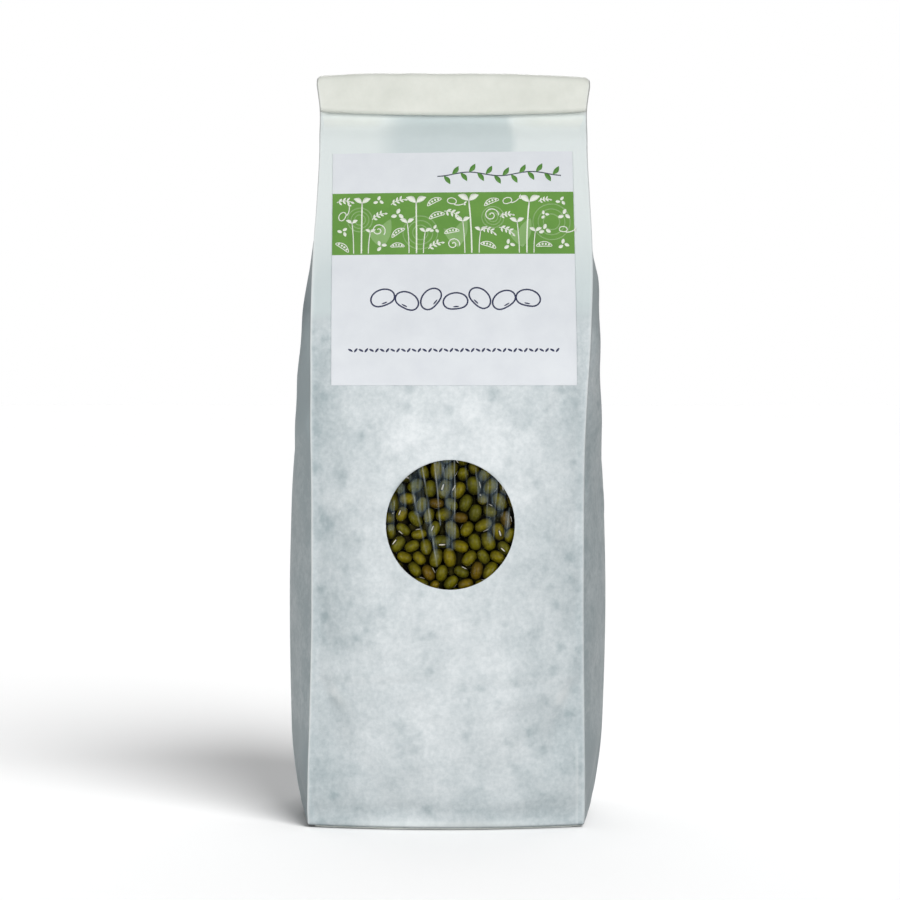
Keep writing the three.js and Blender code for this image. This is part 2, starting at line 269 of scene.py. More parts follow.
# Lengths along the roll where the neck, the crest's start and end, the hem's and the tail's end are.
ROLL_PLACES = ROLL_LENGTH[[0, 1, 25, 26, 42, -1]]
BOTTOM_TURN = FOOT_RADIUS - 0.5 * np.pi * FOOT_RADIUS  # where the foot's curve has become level
BOTTOM_Z = 0.5  # the paper turned under the foot: the folded bottom's flaps lie below it


class Rows:
    """Heights up the paper and what goes with each: `s` runs from below 0 under the foot, equals
    the height z up to the neck, and goes on as length along the roll. Arrays are columns, to
    broadcast against values across the bag. `inset` draws the whole section in."""

    def __init__(self, s, inset=0.0):
        self.s = np.asarray(s, float)[:, None]
        turn = np.clip((FOOT_RADIUS - self.s) / FOOT_RADIUS, 0, np.pi / 2)
        under = np.maximum(BOTTOM_TURN - self.s, 0)
        foot = FOOT_RADIUS - (FOOT_RADIUS - BOTTOM_Z) * np.sin(turn)
        self.z = np.where(self.s < FOOT_RADIUS, foot, np.minimum(self.s, NECK_HEIGHT))
        self.inset = FOOT_RADIUS * (1 - np.cos(turn)) + under + inset
        self.stacked = ease(198, NECK_HEIGHT, self.z)
        self.roll = np.maximum(self.s - NECK_HEIGHT, 0)
        rolled = self.s > NECK_HEIGHT
        self.path_y, path_z = self.on_path(0)
        self.path_z = np.where(rolled, path_z, self.z)
        along = np.stack(self.on_path(0.12)) - np.stack(self.on_path(-0.12))
        along /= np.linalg.norm(along, axis=0)
        # The stack's own forward normal: towards -Y below the neck, downwards over the crest.
        self.normal_y = np.where(rolled, -along[1], -1.0)
        self.normal_z = np.where(rolled, along[0], 0.0)

    def on_path(self, ahead):
        """y and z of the roll's path, a little ahead of each row."""
        return [np.interp(self.roll + ahead, ROLL_LENGTH, v) for v in (ROLL_Y, ROLL_Z)]

    def half_width(self):
        """Half the bag's width: the crease profile, then wider at the crest and narrower at the
        hem of the roll."""
        rolled = np.interp(self.roll, ROLL_PLACES, [39.3, 39.8, 40.0, 39.1, 38.9, 38.7])
        return np.where(self.s > NECK_HEIGHT, rolled, crease_half_width(self.z))

    def stack_points(self, x, offset):
        """Points of the flat stack of papers at x across, `offset` along its forward normal. The
        crest falls and the hem rises towards the ends, with the square of the distance from the
        middle, the crest's corners are rounded and the flap has slight waves."""
        end = (x - sway(TOP_HEIGHT)) / 40
        crest = np.interp(self.roll, ROLL_PLACES, [0, 1, 1, 0, 0, 0])
        hem = np.interp(self.roll, ROLL_PLACES, [0, 0, 0, 1, 1, 1])
        corner = ease(0.965, 1.0, np.abs(end)) * 0.7
        rise = crest * (-1.0 * end**2 - 0.3 * end - corner) + hem * (0.55 + 1.05 * end**2)
        flap = ease(ROLL_PLACES[1], ROLL_PLACES[3], self.roll)
        wave = 0.22 * flap * ripple(x, 2 * self.path_z, 24, 61)
        for start, end_at, width, height in FLAP_DENTS:
            wave = wave + height * flap * ridge(from_segment(x, self.path_z, start, end_at), width)
        y = self.path_y + self.normal_y * offset - wave
        z = self.path_z + self.normal_z * offset + rise + 0.10 * crest * ripple(x, 0 * x, 19, 62)
        return beside(x, y, z)

    def into_stack(self, wall, stack):
        """The wall's points, which pass into their place in the stack from just below the neck."""
        w = self.stacked[..., None]
        return wall * (1 - w) + stack * w


def panel_points(side, u, rows, lift=0.0):
    """Front (side -1) or back panel: x = sway + u times the half width, y = its depth and bow."""
    z = rows.z
    inset = rows.inset - OUTER_FACE - lift
    x = sway(z) + u * (crease_half_width(z) - inset)
    from_crease = (1 - np.abs(u)) * crease_half_width(z)
    pinch = pinch_height(z) * ridge(from_crease, PINCH_WIDTH)
    depth = crease_half_depth(z) + panel_bow(z) * (1 - u * u) - inset + 0.8 * pinch
    depth = depth + panel_relief(side, x, z) * (rows.inset < 0.01)
    wall = beside(x + 0.6 * pinch * np.sign(u), side * depth, z)
    x = sway(rows.path_z) + u * rows.half_width()
    outer = STACK_HALF + lift - (STACK_HALF - STACK_EDGE) * np.abs(u) ** 60
    return rows.into_stack(wall, rows.stack_points(x, -side * outer))


def gusset_points(end, side, v, rows, lift=0.0):
    """Half a gusset, v from 0 at the panel's crease to 1 at the middle crease: a straight line
    between the two, bowed out by the lobe times 4v(1 - v), with creases where it was folded, one
    of them at 45 degrees from the foot's corner."""
    z = rows.z
    inset = rows.inset - OUTER_FACE
    edge = np.stack([crease_half_width(z) - inset, crease_half_depth(z) - inset])
    along = np.stack([gusset_crease(z) - inset, 0 * z]) - edge
    length = np.hypot(*along)
    out = np.stack([-along[1], along[0]]) / length
    across = v * length
    relief = 0.20 * ripple(across, z, 21, 41 + end + 2 * side)
    relief = relief - 0.25 * ridge((across - z) / math.sqrt(2), 0.9)
    relief = relief - 0.12 * ridge(z - FOLD_HEIGHT, 0.8)
    relief = relief * ease(0, 2.5, across) * ease(0, 2.5, length - across) * ease(1.2, 3, z)
    relief = relief + 0.12 * ridge(length - across, 0.8) * ease(0, 10, z)
    bow = gusset_lobe(z) * 4 * v * (1 - v) + relief * (1 - rows.stacked) * (rows.inset < 0.01) + lift
    place = edge + along * v + out * bow
    pinch = pinch_height(z) * ridge(across, PINCH_WIDTH)
    wall = beside(sway(z) + end * (place[0] + 0.6 * pinch), side * (place[1] + 0.8 * pinch), z)
    x = sway(rows.path_z) + end * (
        rows.half_width() + v * (gusset_crease(rows.path_z) - rows.half_width())
    )
    offset = STACK_INNER * (1 - v**12) + (STACK_EDGE - STACK_INNER) * (1 - v) ** 40
    return rows.into_stack(wall, rows.stack_points(x, -side * offset))


def round_the_bag(panel, gusset, front, back, half):
    """What panel(side, u) and gusset(end, side, v) give for each row, joined round the bag from the
    front's left edge. Each strip's last column is the next one's first."""
    turned_back = half[::-1]
    strips = [
        panel(-1, front), gusset(1, -1, half), gusset(1, 1, turned_back), panel(1, back[::-1]),
        gusset(-1, 1, half), gusset(-1, -1, turned_back),
    ]
    return np.concatenate([strip[:, :-1] for strip in strips], axis=1)


def paper_ring(rows, front, back, half):
    """Points of the paper round the bag, a ring for each row."""
    return round_the_bag(
        lambda side, u: panel_points(side, u, rows),
        lambda end, side, v: gusset_points(end, side, v, rows), front, back, half,
    )


def filling_ring(z, inset):
    """The bag's section at one height, drawn in from the middle of the solids' paper."""
    u = np.linspace(-1, 1, 40)
    return paper_ring(Rows([z], inset + OUTER_FACE), u, u, np.linspace(0, 1, 12))[0]


# --- Meshes ---


def grid_faces(rows, columns, wrap=False):
    """Corner numbers of the squares of a grid, row by row; with `wrap` the last column joins the
    first."""
    numbers = np.arange(rows * columns).reshape(rows, columns)
    right = np.roll(numbers, -1, axis=1)
    squares = np.stack([numbers[:-1], right[:-1], right[1:], numbers[1:]], axis=-1)
    return squares.reshape(-1, 4) if wrap else squares[:, :-1].reshape(-1, 4)


def pole_caps(around, last, low, high):
    """Triangles that close a tube of rings: from point `low` to the first ring, whose numbers start
    at 0, and from point `high` to the ring that starts at `last`."""
    ring = np.arange(around)
    following = np.roll(ring, -1)
    return np.concatenate([
        np.stack([np.full(around, low), following, ring], axis=-1),
        np.stack([np.full(around, high), last + ring, last + following], axis=-1),
    ])


def joined_grids(grids, axis):
    """Grids of points as the points and faces of one mesh. Each is (points, closed), where a closed
    one's last column joins its first, and is turned over if it faces up the given axis."""
    points, faces, start = [], [], 0
    for grid, closed in grids:
        squares = grid_faces(*grid.shape[:2], wrap=closed)
        grid = grid.reshape(-1, 3)
        corners = grid[squares[len(squares) // 2]]
        if np.cross(corners[1] - corners[0], corners[2] - corners[0])[axis] > 0:
            squares = squares[:, ::-1]
        points.append(grid)
        faces.append(squares + start)
        start += len(grid)
    return np.concatenate(points), np.concatenate(faces)


def new_piece(name, points, faces, slot, material, replaces=()):
    """A smooth mesh object from points in millimetres and faces, riding on the bag. Faces are one
    array of corner numbers, or a tuple of arrays whose faces have different numbers of corners."""
    parts = faces if isinstance(faces, tuple) else (faces,)
    corners = sum((part.tolist() for part in parts), [])
    mesh = bpy.data.meshes.new(name)
    mesh.from_pydata((points.reshape(-1, 3) * MM).tolist(), [], corners)
    mesh.polygons.foreach_set("use_smooth", np.ones(len(mesh.polygons), bool))
    mesh.materials.append(material)
    mesh.update()
    piece = bpy.data.objects.new(name, mesh)
    bpy.context.collection.objects.link(piece)
    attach(piece, "root")
    if replaces:
        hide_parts(*replaces)
    return piece


def write_attributes(piece, **values):
    """Numbers for a mesh's material to read, one for each point or one for them all."""
    count = len(piece.data.vertices)
    for name, value in values.items():
        attribute = piece.data.attributes.new(name, "FLOAT", "POINT")
        each = np.broadcast_to(np.ravel(value), count).astype(np.float32)
        attribute.data.foreach_set("value", each)


def second_material(piece, material, which):
    """Gives the faces whose number in `which` is 1 a second material."""
    piece.data.materials.append(material)
    piece.data.polygons.foreach_set("material_index", np.asarray(which, np.int32))


def thicken(piece, thickness):
    """Gives an open surface its thickness in metres, inwards from its outer face."""
    solid = piece.modifiers.new("thickness", "SOLIDIFY")
    solid.thickness = thickness
    solid.offset = -1.0
    solid.use_even_offset = False
    solid.use_quality_normals = True


def flat_shading(piece):
    """Shades a sheet evenly up to its cut edge, instead of rounding that off."""
    piece.modifiers.new("even_shading", "WEIGHTED_NORMAL")


# --- Materials ---


def add_node(tree, kind, inputs=None, out=0, **settings):
    """Adds a node with its settings and returns one of its outputs. An input is given a value, or
    linked if that is a socket."""
    made = tree.nodes.new("ShaderNode" + kind)
    for name, value in settings.items():
        setattr(made, name, value)
    for name, value in (inputs or {}).items():
        if isinstance(value, NodeSocket):
            tree.links.new(value, made.inputs[name])
        else:
            made.inputs[name].default_value = value
    return made.outputs[out] if made.outputs else None


FAC = {"out": "Fac"}  # an Attribute node's number
RGBA = {"out": 2, "data_type": "RGBA"}  # a Mix node between colours: 0 is how far from 6 to 7
FUSED = {"operation": "MULTIPLY_ADD"}  # a Math node that gives 0 times 1 plus 2


def new_material(name):
    """An empty node material and its tree."""
    material = bpy.data.materials.new(name)
    material.use_nodes = True
    material.node_tree.nodes.clear()
    return material, material.node_tree


def per_mm(size):
    """A texture's scale on coordinates in metres, for features of that size in millimetres."""
    return 1 / (size * MM)


def colour(hex_colour):
    return (*linear(hex_colour), 1.0)


def white_kraft_paper(settings):
    """Bleached kraft, about 90 g a square metre, glazed on its outer face: cool and a little grey
    where dark beans lie behind one layer, with a spot where each bean touches it, and warm and
    opaque where several layers lie on each other. Matt sheen, fine cloudy formation. Painted shade
    darkens it beside the creases, low on the panels, at the foot and over the gussets, and its
    creases are painted lighter, a painted highlight where they catch the light."""
    material, tree = new_material("white_kraft_paper")
    place = add_node(tree, "TexCoord", out="Object")
    full, layers, crease, pressed = (
        add_node(tree, "Attribute", attribute_name=name, **FAC)
        for name in ("full", "layers", "crease", "pressed")
    )
    # Beans are packed about 4.3 mm apart behind the paper, and only some of their spots show.
    beans = add_node(
        tree, "TexVoronoi", {"Vector": place, "Scale": per_mm(4.3), "Smoothness": 0.6},
        feature="SMOOTH_F1",
    )
    contact = add_node(
        tree, "MapRange",
        {"Value": beans, "From Min": 0.12, "From Max": 0.62, "To Min": 1.0, "To Max": 0.0},
        interpolation_type="SMOOTHSTEP",
    )
    patchy = add_node(tree, "TexNoise", {"Vector": place, "Scale": per_mm(7), "Detail": 2.0})
    patch = add_node(tree, "MapRange", {"Value": patchy, "From Min": 0.45, "From Max": 0.68})
    spots = add_node(tree, "Math", {0: contact, 1: patch}, operation="MULTIPLY")
    cloud = add_node(
        tree, "TexNoise", {"Vector": place, "Scale": per_mm(11), "Detail": 6.0, "Roughness": 0.62}
    )
    fibre = add_node(
        tree, "TexNoise", {"Vector": place, "Scale": per_mm(1.3), "Detail": 3.0, "Roughness": 0.6}
    )
    clouds = add_node(tree, "Math", {0: cloud, 1: -0.5}, operation="ADD")
    fibres = add_node(tree, "Math", {0: fibre, 1: -0.5}, operation="ADD")
    # The painted shade also darkens the mottle towards the shaded colour.
    mottle = 0.22
    for part, share in ((spots, 0.35), (clouds, 1.0), (fibres, 0.65), (pressed, 0.5)):
        mottle = add_node(tree, "Math", {0: part, 1: share, 2: mottle}, **FUSED)
    over_beans = add_node(
        tree, "Mix",
        {0: mottle, 6: (*settings.paper_light, 1.0), 7: (*settings.paper_shaded, 1.0)},
        clamp_factor=True, **RGBA,
    )
    # Above the beans, the empty paper greys with the clouds and with the painted shade.
    greyer = add_node(tree, "Math", {0: clouds, 1: 0.3, 2: pressed}, use_clamp=True, **FUSED)
    empty = add_node(tree, "Mix", {0: greyer, 6: colour("#d1dcdd"), 7: colour("#87949a")}, **RGBA)
    single = add_node(tree, "Mix", {0: full, 6: empty, 7: over_beans}, **RGBA)

    # Two papers are whiter than one, and four or more are warm and quite opaque.
    two = add_node(tree, "MapRange", {"Value": layers, "From Min": 0.0, "From Max": 0.5})
    more = add_node(tree, "MapRange", {"Value": layers, "From Min": 0.5, "From Max": 1.0})
    doubled = add_node(tree, "Mix", {0: two, 6: single, 7: colour("#e9f0ef")}, **RGBA)
    uneven = add_node(tree, "Math", {0: clouds, 1: 2.6, 2: 0.45}, use_clamp=True, **FUSED)
    stacked = add_node(
        tree, "Mix", {0: uneven, 6: (*settings.paper_stacked, 1.0), 7: colour("#e0e3da")}, **RGBA
    )
    body = add_node(tree, "Mix", {0: more, 6: doubled, 7: stacked}, **RGBA)
    # The creases are painted lighter: a painted highlight where they catch the light.
    painted_crease_highlight = add_node(tree, "Mix", {0: crease, 6: body, 7: colour("#f6fafa")}, **RGBA)

    bean_bumps = add_node(tree, "Math", {0: contact, 1: full}, operation="MULTIPLY")
    height = add_node(tree, "Math", {0: bean_bumps, 1: 0.5, 2: fibre}, **FUSED)
    height = add_node(tree, "Math", {0: cloud, 1: 1.5, 2: height}, **FUSED)
    bump = add_node(tree, "Bump", {"Height": height, "Strength": 0.5, "Distance": 0.12 * MM})
    gloss = add_node(tree, "MapRange", {"Value": fibre, "To Min": 0.42, "To Max": 0.58})
    shader = add_node(tree, "BsdfPrincipled", {
        "Base Color": painted_crease_highlight, "Roughness": gloss, "IOR": 1.48, "Specular IOR Level": 0.35,
        "Normal": bump,
    })
    add_node(tree, "OutputMaterial", {"Surface": shader})
    return material


def polypropylene_film(settings):
    """Clear cast film: it mirrors a little, more at a glancing angle. Along its fine upright folds it
    is painted whiter in thin lines, a painted highlight where the folds catch the light, and in the
    given stretches between them it is milky, most where beans touch it."""
    material, tree = new_material("polypropylene_film")
    fold = add_node(tree, "Attribute", attribute_name="fold", **FAC)
    haze = add_node(tree, "Attribute", attribute_name="haze", **FAC)
    clear = add_node(tree, "BsdfTransparent", {"Color": (0.98, 0.99, 1.0, 1.0)})
    # Painted highlight: the folds are drawn in the whiter tint.
    tint = add_node(tree, "Mix", {0: fold, 6: colour("#8aa0ac"), 7: colour("#e4eaea")}, **RGBA)
    milky = add_node(
        tree, "BsdfPrincipled",
        {"Base Color": tint, "Roughness": 0.45, "IOR": 1.49, "Specular IOR Level": 0.15},
    )
    seen = add_node(tree, "Math", {0: haze, 1: settings.haze}, operation="MULTIPLY")
    seen = add_node(tree, "Math", {0: fold, 1: 0.2, 2: seen}, use_clamp=True, **FUSED)
    body = add_node(tree, "MixShader", {0: seen, 1: clear, 2: milky})
    mirror = add_node(tree, "BsdfGlossy", {"Color": (0.8, 0.8, 0.8, 1.0), "Roughness": 0.2})
    facing = add_node(tree, "Fresnel", {"IOR": 1.03})
    both = add_node(tree, "MixShader", {0: facing, 1: body, 2: mirror})
    add_node(tree, "OutputMaterial", {"Surface": both})
    return material


def coated_paper(name, hex_colour, darker, roughness):
    """Clay-coated label paper, plain or under offset ink: smooth and faintly glossy, with a very
    fine unevenness in tone."""
    material, tree = new_material(name)
    place = add_node(tree, "TexCoord", out="Object")
    tone = add_node(
        tree, "TexNoise", {"Vector": place, "Scale": per_mm(9), "Detail": 4.0, "Roughness": 0.6}
    )
    uneven = add_node(tree, "MapRange", {"Value": tone, "From Min": 0.32, "From Max": 0.68})
    base = add_node(tree, "Mix", {0: uneven, 6: colour(hex_colour), 7: colour(darker)}, **RGBA)
    grain = add_node(tree, "TexNoise", {"Vector": place, "Scale": per_mm(0.8), "Detail": 2.0})
    bump = add_node(tree, "Bump", {"Height": grain, "Strength": 0.3, "Distance": 0.02 * MM})
    shader = add_node(tree, "BsdfPrincipled", {
        "Base Color": base, "Roughness": roughness, "IOR": 1.5, "Specular IOR Level": 0.4,
        "Normal": bump,
    })
    add_node(tree, "OutputMaterial", {"Surface": shader})
    return material


def mung_bean_coat(settings):
    """A mung bean's seed coat: hard and waxy, olive green to olive brown from bean to bean, faintly
    mottled, with a fine net of ridges that breaks up its gloss. Beans that lie deep in the heap are
    painted darker, down to near black: painted shade between the beans."""
    material, tree = new_material("mung_bean_coat")
    place = add_node(tree, "TexCoord", out="Object")
    tone = add_node(tree, "Attribute", attribute_name="tone", **FAC)
    depth = add_node(tree, "Attribute", attribute_name="depth", **FAC)
    base = add_node(tree, "ValToRGB", {"Fac": tone})
    shades = (
        (0.0, "#555309"), (0.25, "#706a04"), (0.5, "#7d7202"), (0.72, "#867603"), (0.88, "#735d04"),
        (1.0, "#5f4809"),
    )
    elements = base.node.color_ramp.elements
    while len(elements) < len(shades):
        elements.new(0.5)
    for element, (position, shade) in zip(elements, shades):
        element.position = position
        element.color = colour(shade)
    mottle = add_node(tree, "TexNoise", {"Vector": place, "Scale": per_mm(0.9), "Detail": 3.0})
    shade = add_node(tree, "MapRange", {
        "Value": mottle, "From Min": 0.3, "From Max": 0.7, "To Min": 0.62, "To Max": 1.18,
    })
    tinted = add_node(tree, "Mix", {0: 1.0, 6: base, 7: shade}, blend_type="MULTIPLY", **RGBA)
    # Painted shade: the deeper behind the film, the nearer black.
    painted_deep_shade = add_node(tree, "Mix", {0: depth, 6: tinted, 7: colour("#050502")}, **RGBA)
    dull = add_node(
        tree, "MapRange", {"Value": depth, "To Min": settings.gloss_roughness, "To Max": 0.95}
    )
    net = add_node(
        tree, "TexVoronoi", {"Vector": place, "Scale": per_mm(0.35)}, feature="DISTANCE_TO_EDGE"
    )
    bump = add_node(tree, "Bump", {"Height": net, "Strength": 0.15, "Distance": 0.05 * MM})
    shader = add_node(tree, "BsdfPrincipled", {
        "Base Color": painted_deep_shade, "Roughness": dull, "IOR": 1.48, "Specular IOR Level": 0.16,
        "Normal": bump,
    })
    add_node(tree, "OutputMaterial", {"Surface": shader})
    return material


def plain_finish(name, feature, light, dark, looks):
    """A matt surface whose tone drifts between two colours over `feature` millimetres."""
    material, tree = new_material(name)
    place = add_node(tree, "TexCoord", out="Object")
    tone = add_node(tree, "TexNoise", {"Vector": place, "Scale": per_mm(feature)})
    base = add_node(tree, "Mix", {0: tone, 6: colour(light), 7: colour(dark)}, **RGBA)
    shader = add_node(tree, "BsdfPrincipled", {"Base Color": base, **looks})
    add_node(tree, "OutputMaterial", {"Surface": shader})
    return material


def seed_scar(light, dark):
    """The hilum, a bean's scar: chalky white, or the dull dark skin round it, slightly uneven."""
    return plain_finish("seed_scar", 0.5, light, dark, {"Roughness": 0.6, "IOR": 1.48})


def painted_floor():
    """A pale sweep: matt white with the faintest unevenness."""
    looks = {"Roughness": 0.9, "Specular IOR Level": 0.1}
    return plain_finish("painted_floor", 400, "#f4f4f4", "#f0f0f0", looks)


# --- Settings ---

LENGTH = {"subtype": "DISTANCE", "unit": "LENGTH"}
TINT = {"subtype": "COLOR", "size": 3, "min": 0, "max": 1}


class BagSettings(PropertyGroup):
    thickness: FloatProperty(
        name="Paper thickness",
        description="Drawn twice as thick as real bag paper, so its cut edge shows",
        default=0.22 * MM, min=0.05 * MM, max=0.3 * MM, precision=5, **LENGTH,
    )
    paper_light: FloatVectorProperty(
        name="Paper, light", description="Single paper where it stands off the beans",
        default=linear("#eff4f6"), **TINT,
    )
    # Also the colour towards which the painted shade darkens the paper.
    paper_shaded: FloatVectorProperty(
        name="Paper, shaded", description="Single paper where a bean touches it",
        default=linear("#a9b7bb"), **TINT,
    )
    paper_stacked: FloatVectorProperty(
        name="Paper, stacked", description="Several papers on each other, as in the rolled top",
        default=linear("#eef0e8"), **TINT,
    )


class FilmSettings(PropertyGroup):
    side: FloatProperty(
        name="Side", description="Side of the square patch of film", default=48 * MM, min=40 * MM,
        max=60 * MM, **LENGTH,
    )
    thickness: FloatProperty(
        name="Thickness", description="Thickness of the film", default=0.04 * MM, min=0.02 * MM,
        max=0.2 * MM, precision=5, **LENGTH,
    )
    haze: FloatProperty(
        name="Haze", description="How milky the film is where it clings to the beans",
        default=0.15, min=0, max=1, subtype="FACTOR",
    )


class LabelSettings(PropertyGroup):
    side: FloatProperty(
        name="Side", description="Side of the square label", default=70 * MM, min=50 * MM,
        max=75 * MM, **LENGTH,
    )
    thickness: FloatProperty(
        name="Thickness", description="Thickness of the label", default=0.08 * MM, min=0.05 * MM,
        max=0.4 * MM, precision=5, **LENGTH,
    )
    band_bottom: FloatProperty(
        name="Band bottom", description="Lower edge of the printed band, up from the label's middle",
        default=3.8 * MM, **LENGTH,
    )
    band_top: FloatProperty(
        name="Band top", description="Upper edge of the printed band, up from the label's middle",
        default=22.6 * MM, **LENGTH,
    )


class BeanSettings(PropertyGroup):
    length: FloatProperty(
        name="Length", description="Length of an average bean", default=5.1 * MM, min=4 * MM,
        max=7 * MM, **LENGTH,
    )
    width: FloatProperty(
        name="Width", description="Width of an average bean", default=3.7 * MM, min=3 * MM,
        max=5 * MM, **LENGTH,
    )
    gloss_roughness: FloatProperty(
        name="Roughness", description="Roughness of the waxy seed coat", default=0.3, min=0, max=1,
        subtype="FACTOR",
    )
    seed: IntProperty(name="Seed", description="Another seed gives another heap", default=12, min=0)


class StageSettings(PropertyGroup):
    key_power: FloatProperty(
        name="Softbox", description="Power of each of the two softboxes in front", default=4.86, min=0,
        subtype="POWER", unit="POWER",
    )
    back_strength: FloatProperty(
        name="Back light", description="Strength of each of the two broad lights behind",
        default=1.0, min=0,
    )
    shadow_strength: FloatProperty(
        name="Floor side light", description="Strength of the light that draws the long shadow",
        default=3.19, min=0,
    )
    sky_strength: FloatProperty(
        name="Floor top light", description="Strength of the light round the bag's foot", default=0.34,
        min=0,
    )
    ambient: FloatProperty(
        name="Ambient", description="Light from all round", default=0.08, min=0, max=2,
    )


# --- Paper bag ---

LAYER = 0.1 * MM  # how thick the lapped layers of the seam and the bottom are drawn
SEAM_LIFT = 0.14  # the seam's outer face, from the gusset's
GUSSET_HALF = 25.0  # half the width of a gusset, flat
WINDOW_MARGIN = 3.2  # the square left open in the grid ends within this of the round hole


def panel_attributes(side, x, z):
    """What the paper's material reads over a panel: `full` where beans lie behind it, `layers`
    where the folded gusset does, `crease` along its edges and fold line, painted lighter there as a
    painted highlight, and painted shade: darker beside the creases, low on the panel, in bands below
    the shoulders and at the foot."""
    full = 1 - ease(FILL_HEIGHT - 7, FILL_HEIGHT + 3, z + 1.6 * ripple(x, z, 16, 71 + side))
    from_middle = np.abs(x - sway(z))
    inner = gusset_crease(z) + 0.6 * ripple(z, 0 * x, 12, 72)
    soft = np.where(x < sway(z), 5.0, 1.3)  # the left gusset lies less close to the front
    layers = 0.42 * ease(-soft, soft, from_middle - inner - 0.5 * soft) * ease(148, 182, z)
    hem = 0.22 * ease(3.4, 1.8, z) * ease(0.0, 1.0, z) * ease(34, 12, from_middle)
    # Painted light: a narrow band just under the hem is lighter towards the ends, against the hem's
    # shadow.
    painted_light_under_hem = 0.3 * ridge(z - 204.0, 2.0) * ease(10, 26, from_middle)
    from_crease = crease_half_width(z) - from_middle
    # The creases, the fold line and the swellings beside the lower dents are painted lighter: a painted
    # highlight where they catch the light.
    crease = 0.8 * ridge(from_crease, 0.3)
    crease = crease + 0.35 * ridge(from_crease - 2.1, 0.3) * (x > 0) * (side < 0) * ease(30, 16, z)
    fold = FOLD_HEIGHT + 1.2 + 0.5 * ripple(x, 0 * x, 30, 31 + side)
    crease = crease + 0.06 * ridge(z - fold, 0.7)
    if side < 0:
        for start, end, width, _ in SWELLS_BY_CREASES:
            crease = crease + 0.5 * ridge(from_segment(x, z, start, end), 0.8 * width)
    # Painted shade: darker beside the creases, towards the foot, low on the panel and in two bands
    # below the shoulders.
    pressed = 0.75 * (1 - from_crease / crease_half_width(z)) ** 2 + 0.3 * ease(34, 3, z)
    pressed = pressed + 0.24 * ease(112, 70, z) - 0.06 + 0.14 * ridge(z - 5.5, 2.2)
    pressed = pressed + 0.45 * ridge(z - 114, 11) * ease(32, 5, from_crease)
    pressed = pressed + 0.3 * ridge(z - 129, 7) * ease(22, 5, from_crease)
    pressed = np.clip(pressed, 0, 1) * full
    return full, np.clip(layers + painted_light_under_hem + hem, 0, 1), np.clip(crease, 0, 1), pressed


def paper_attributes(rows, front, back, half):
    """The material's four values for every point of the ring of columns."""
    rolled = ease(NECK_HEIGHT - 2, NECK_HEIGHT + 1, rows.s)

    def panel(side, u):
        x = sway(rows.z) + u * crease_half_width(rows.z)
        full, layers, crease, pressed = panel_attributes(side, x, rows.z + 0 * x)
        return beside(
            full * (1 - rolled), np.maximum(layers, rolled), crease * (1 - 0.6 * rolled), pressed
        )

    def gusset(end, side, v):
        z = rows.z
        across = GUSSET_HALF * v
        # Painted highlight along the gusset's creases.
        crease = 0.5 * ridge(across, 0.5) + 0.35 * ridge(GUSSET_HALF - across, 0.5)
        crease = crease + 0.15 * ridge((across - z) / math.sqrt(2), 0.8)
        # The gussets carry painted shade all over, most at the foot and where they tuck in under the
        # shoulders, and most of all at the front left.
        left = float(end < 0)
        painted_fold_shade = left * (0.12 * ridge(z - 138, 17) + 0.08 * (1 - ease(150, 170, z)))
        painted_fold_shade = painted_fold_shade + (1.1 + 0.45 * left) * ease(32, 8, z)
        if side < 0:
            painted_fold_shade = painted_fold_shade + (0.6 if end < 0 else -0.35) * ridge(z - 126, 22)
        full = 1 - ease(FILL_HEIGHT - 9, FILL_HEIGHT + 1, z)
        empty = (1 - full) * (1 - ease(166, 190, z))
        pressed = 1.2 * full + 0.55 * empty + painted_fold_shade
        # Painted shade: towards the foot the gussets are drawn as if no beans lay behind them, which
        # greys them further.
        full = full * (1 - (0.4 + 0.25 * left) * ease(34, 8, z)) * (1 - rolled)
        layers = np.maximum(0.05 + 0.33 * ease(150, 188, z), rolled)
        return beside(full, layers, np.clip(crease, 0, 1), np.clip(pressed, 0, 2))

    return round_the_bag(panel, gusset, front, back, half)


def paper_columns():
    """Values across the front and the back (u from -1 to 1) and half a gusset (v from 0 to 1),
    close together beside the creases."""
    front = spread(
        (-1, -0.93, 0.0095), (-0.93, -0.55, 0.035), (-0.55, 0.55, 0.0315), (0.55, 0.93, 0.035),
        (0.93, 1, 0.0095),
    )
    back = spread((-1, -0.95, 0.0125), (-0.95, 0.95, 0.045), (0.95, 1, 0.0125))
    half = spread((0, 0.08, 0.016), (0.08, 0.9, 0.09), (0.9, 1, 0.02))
    return front, back, half


def paper_rows():
    """Places up the paper, close together at the foot, the fold line, the neck and the roll."""
    neck, crest, flap, hem, tail, end = NECK_HEIGHT + ROLL_PLACES
    return spread(
        (BOTTOM_TURN - 12, BOTTOM_TURN, 4), (BOTTOM_TURN, FOOT_RADIUS, 0.44), (FOOT_RADIUS, 9, 0.75),
        (9, 34, 2.0), (34, 46, 0.85), (46, 124, 1.75), (124, 196, 2.0), (196, neck, 1.0),
        (neck, crest, 1.4), (crest, flap, 0.42), (flap, hem, 1.1), (hem, tail, 0.3), (tail, end, 1.5),
    )


def window_ring(square):
    """Points (x, z) between the round hole and the points round the open square. Each spoke starts
    on the hole's edge, straight inwards from its point of the square, and its steps grow
    outwards."""
    centre = np.array([WINDOW_X, WINDOW_Z])
    rim = centre + WINDOW_RADIUS * unit(square - centre)
    steps = np.array([0, 0.10, 0.24, 0.42, 0.68])[:, None, None]
    return rim + (square - rim) * steps


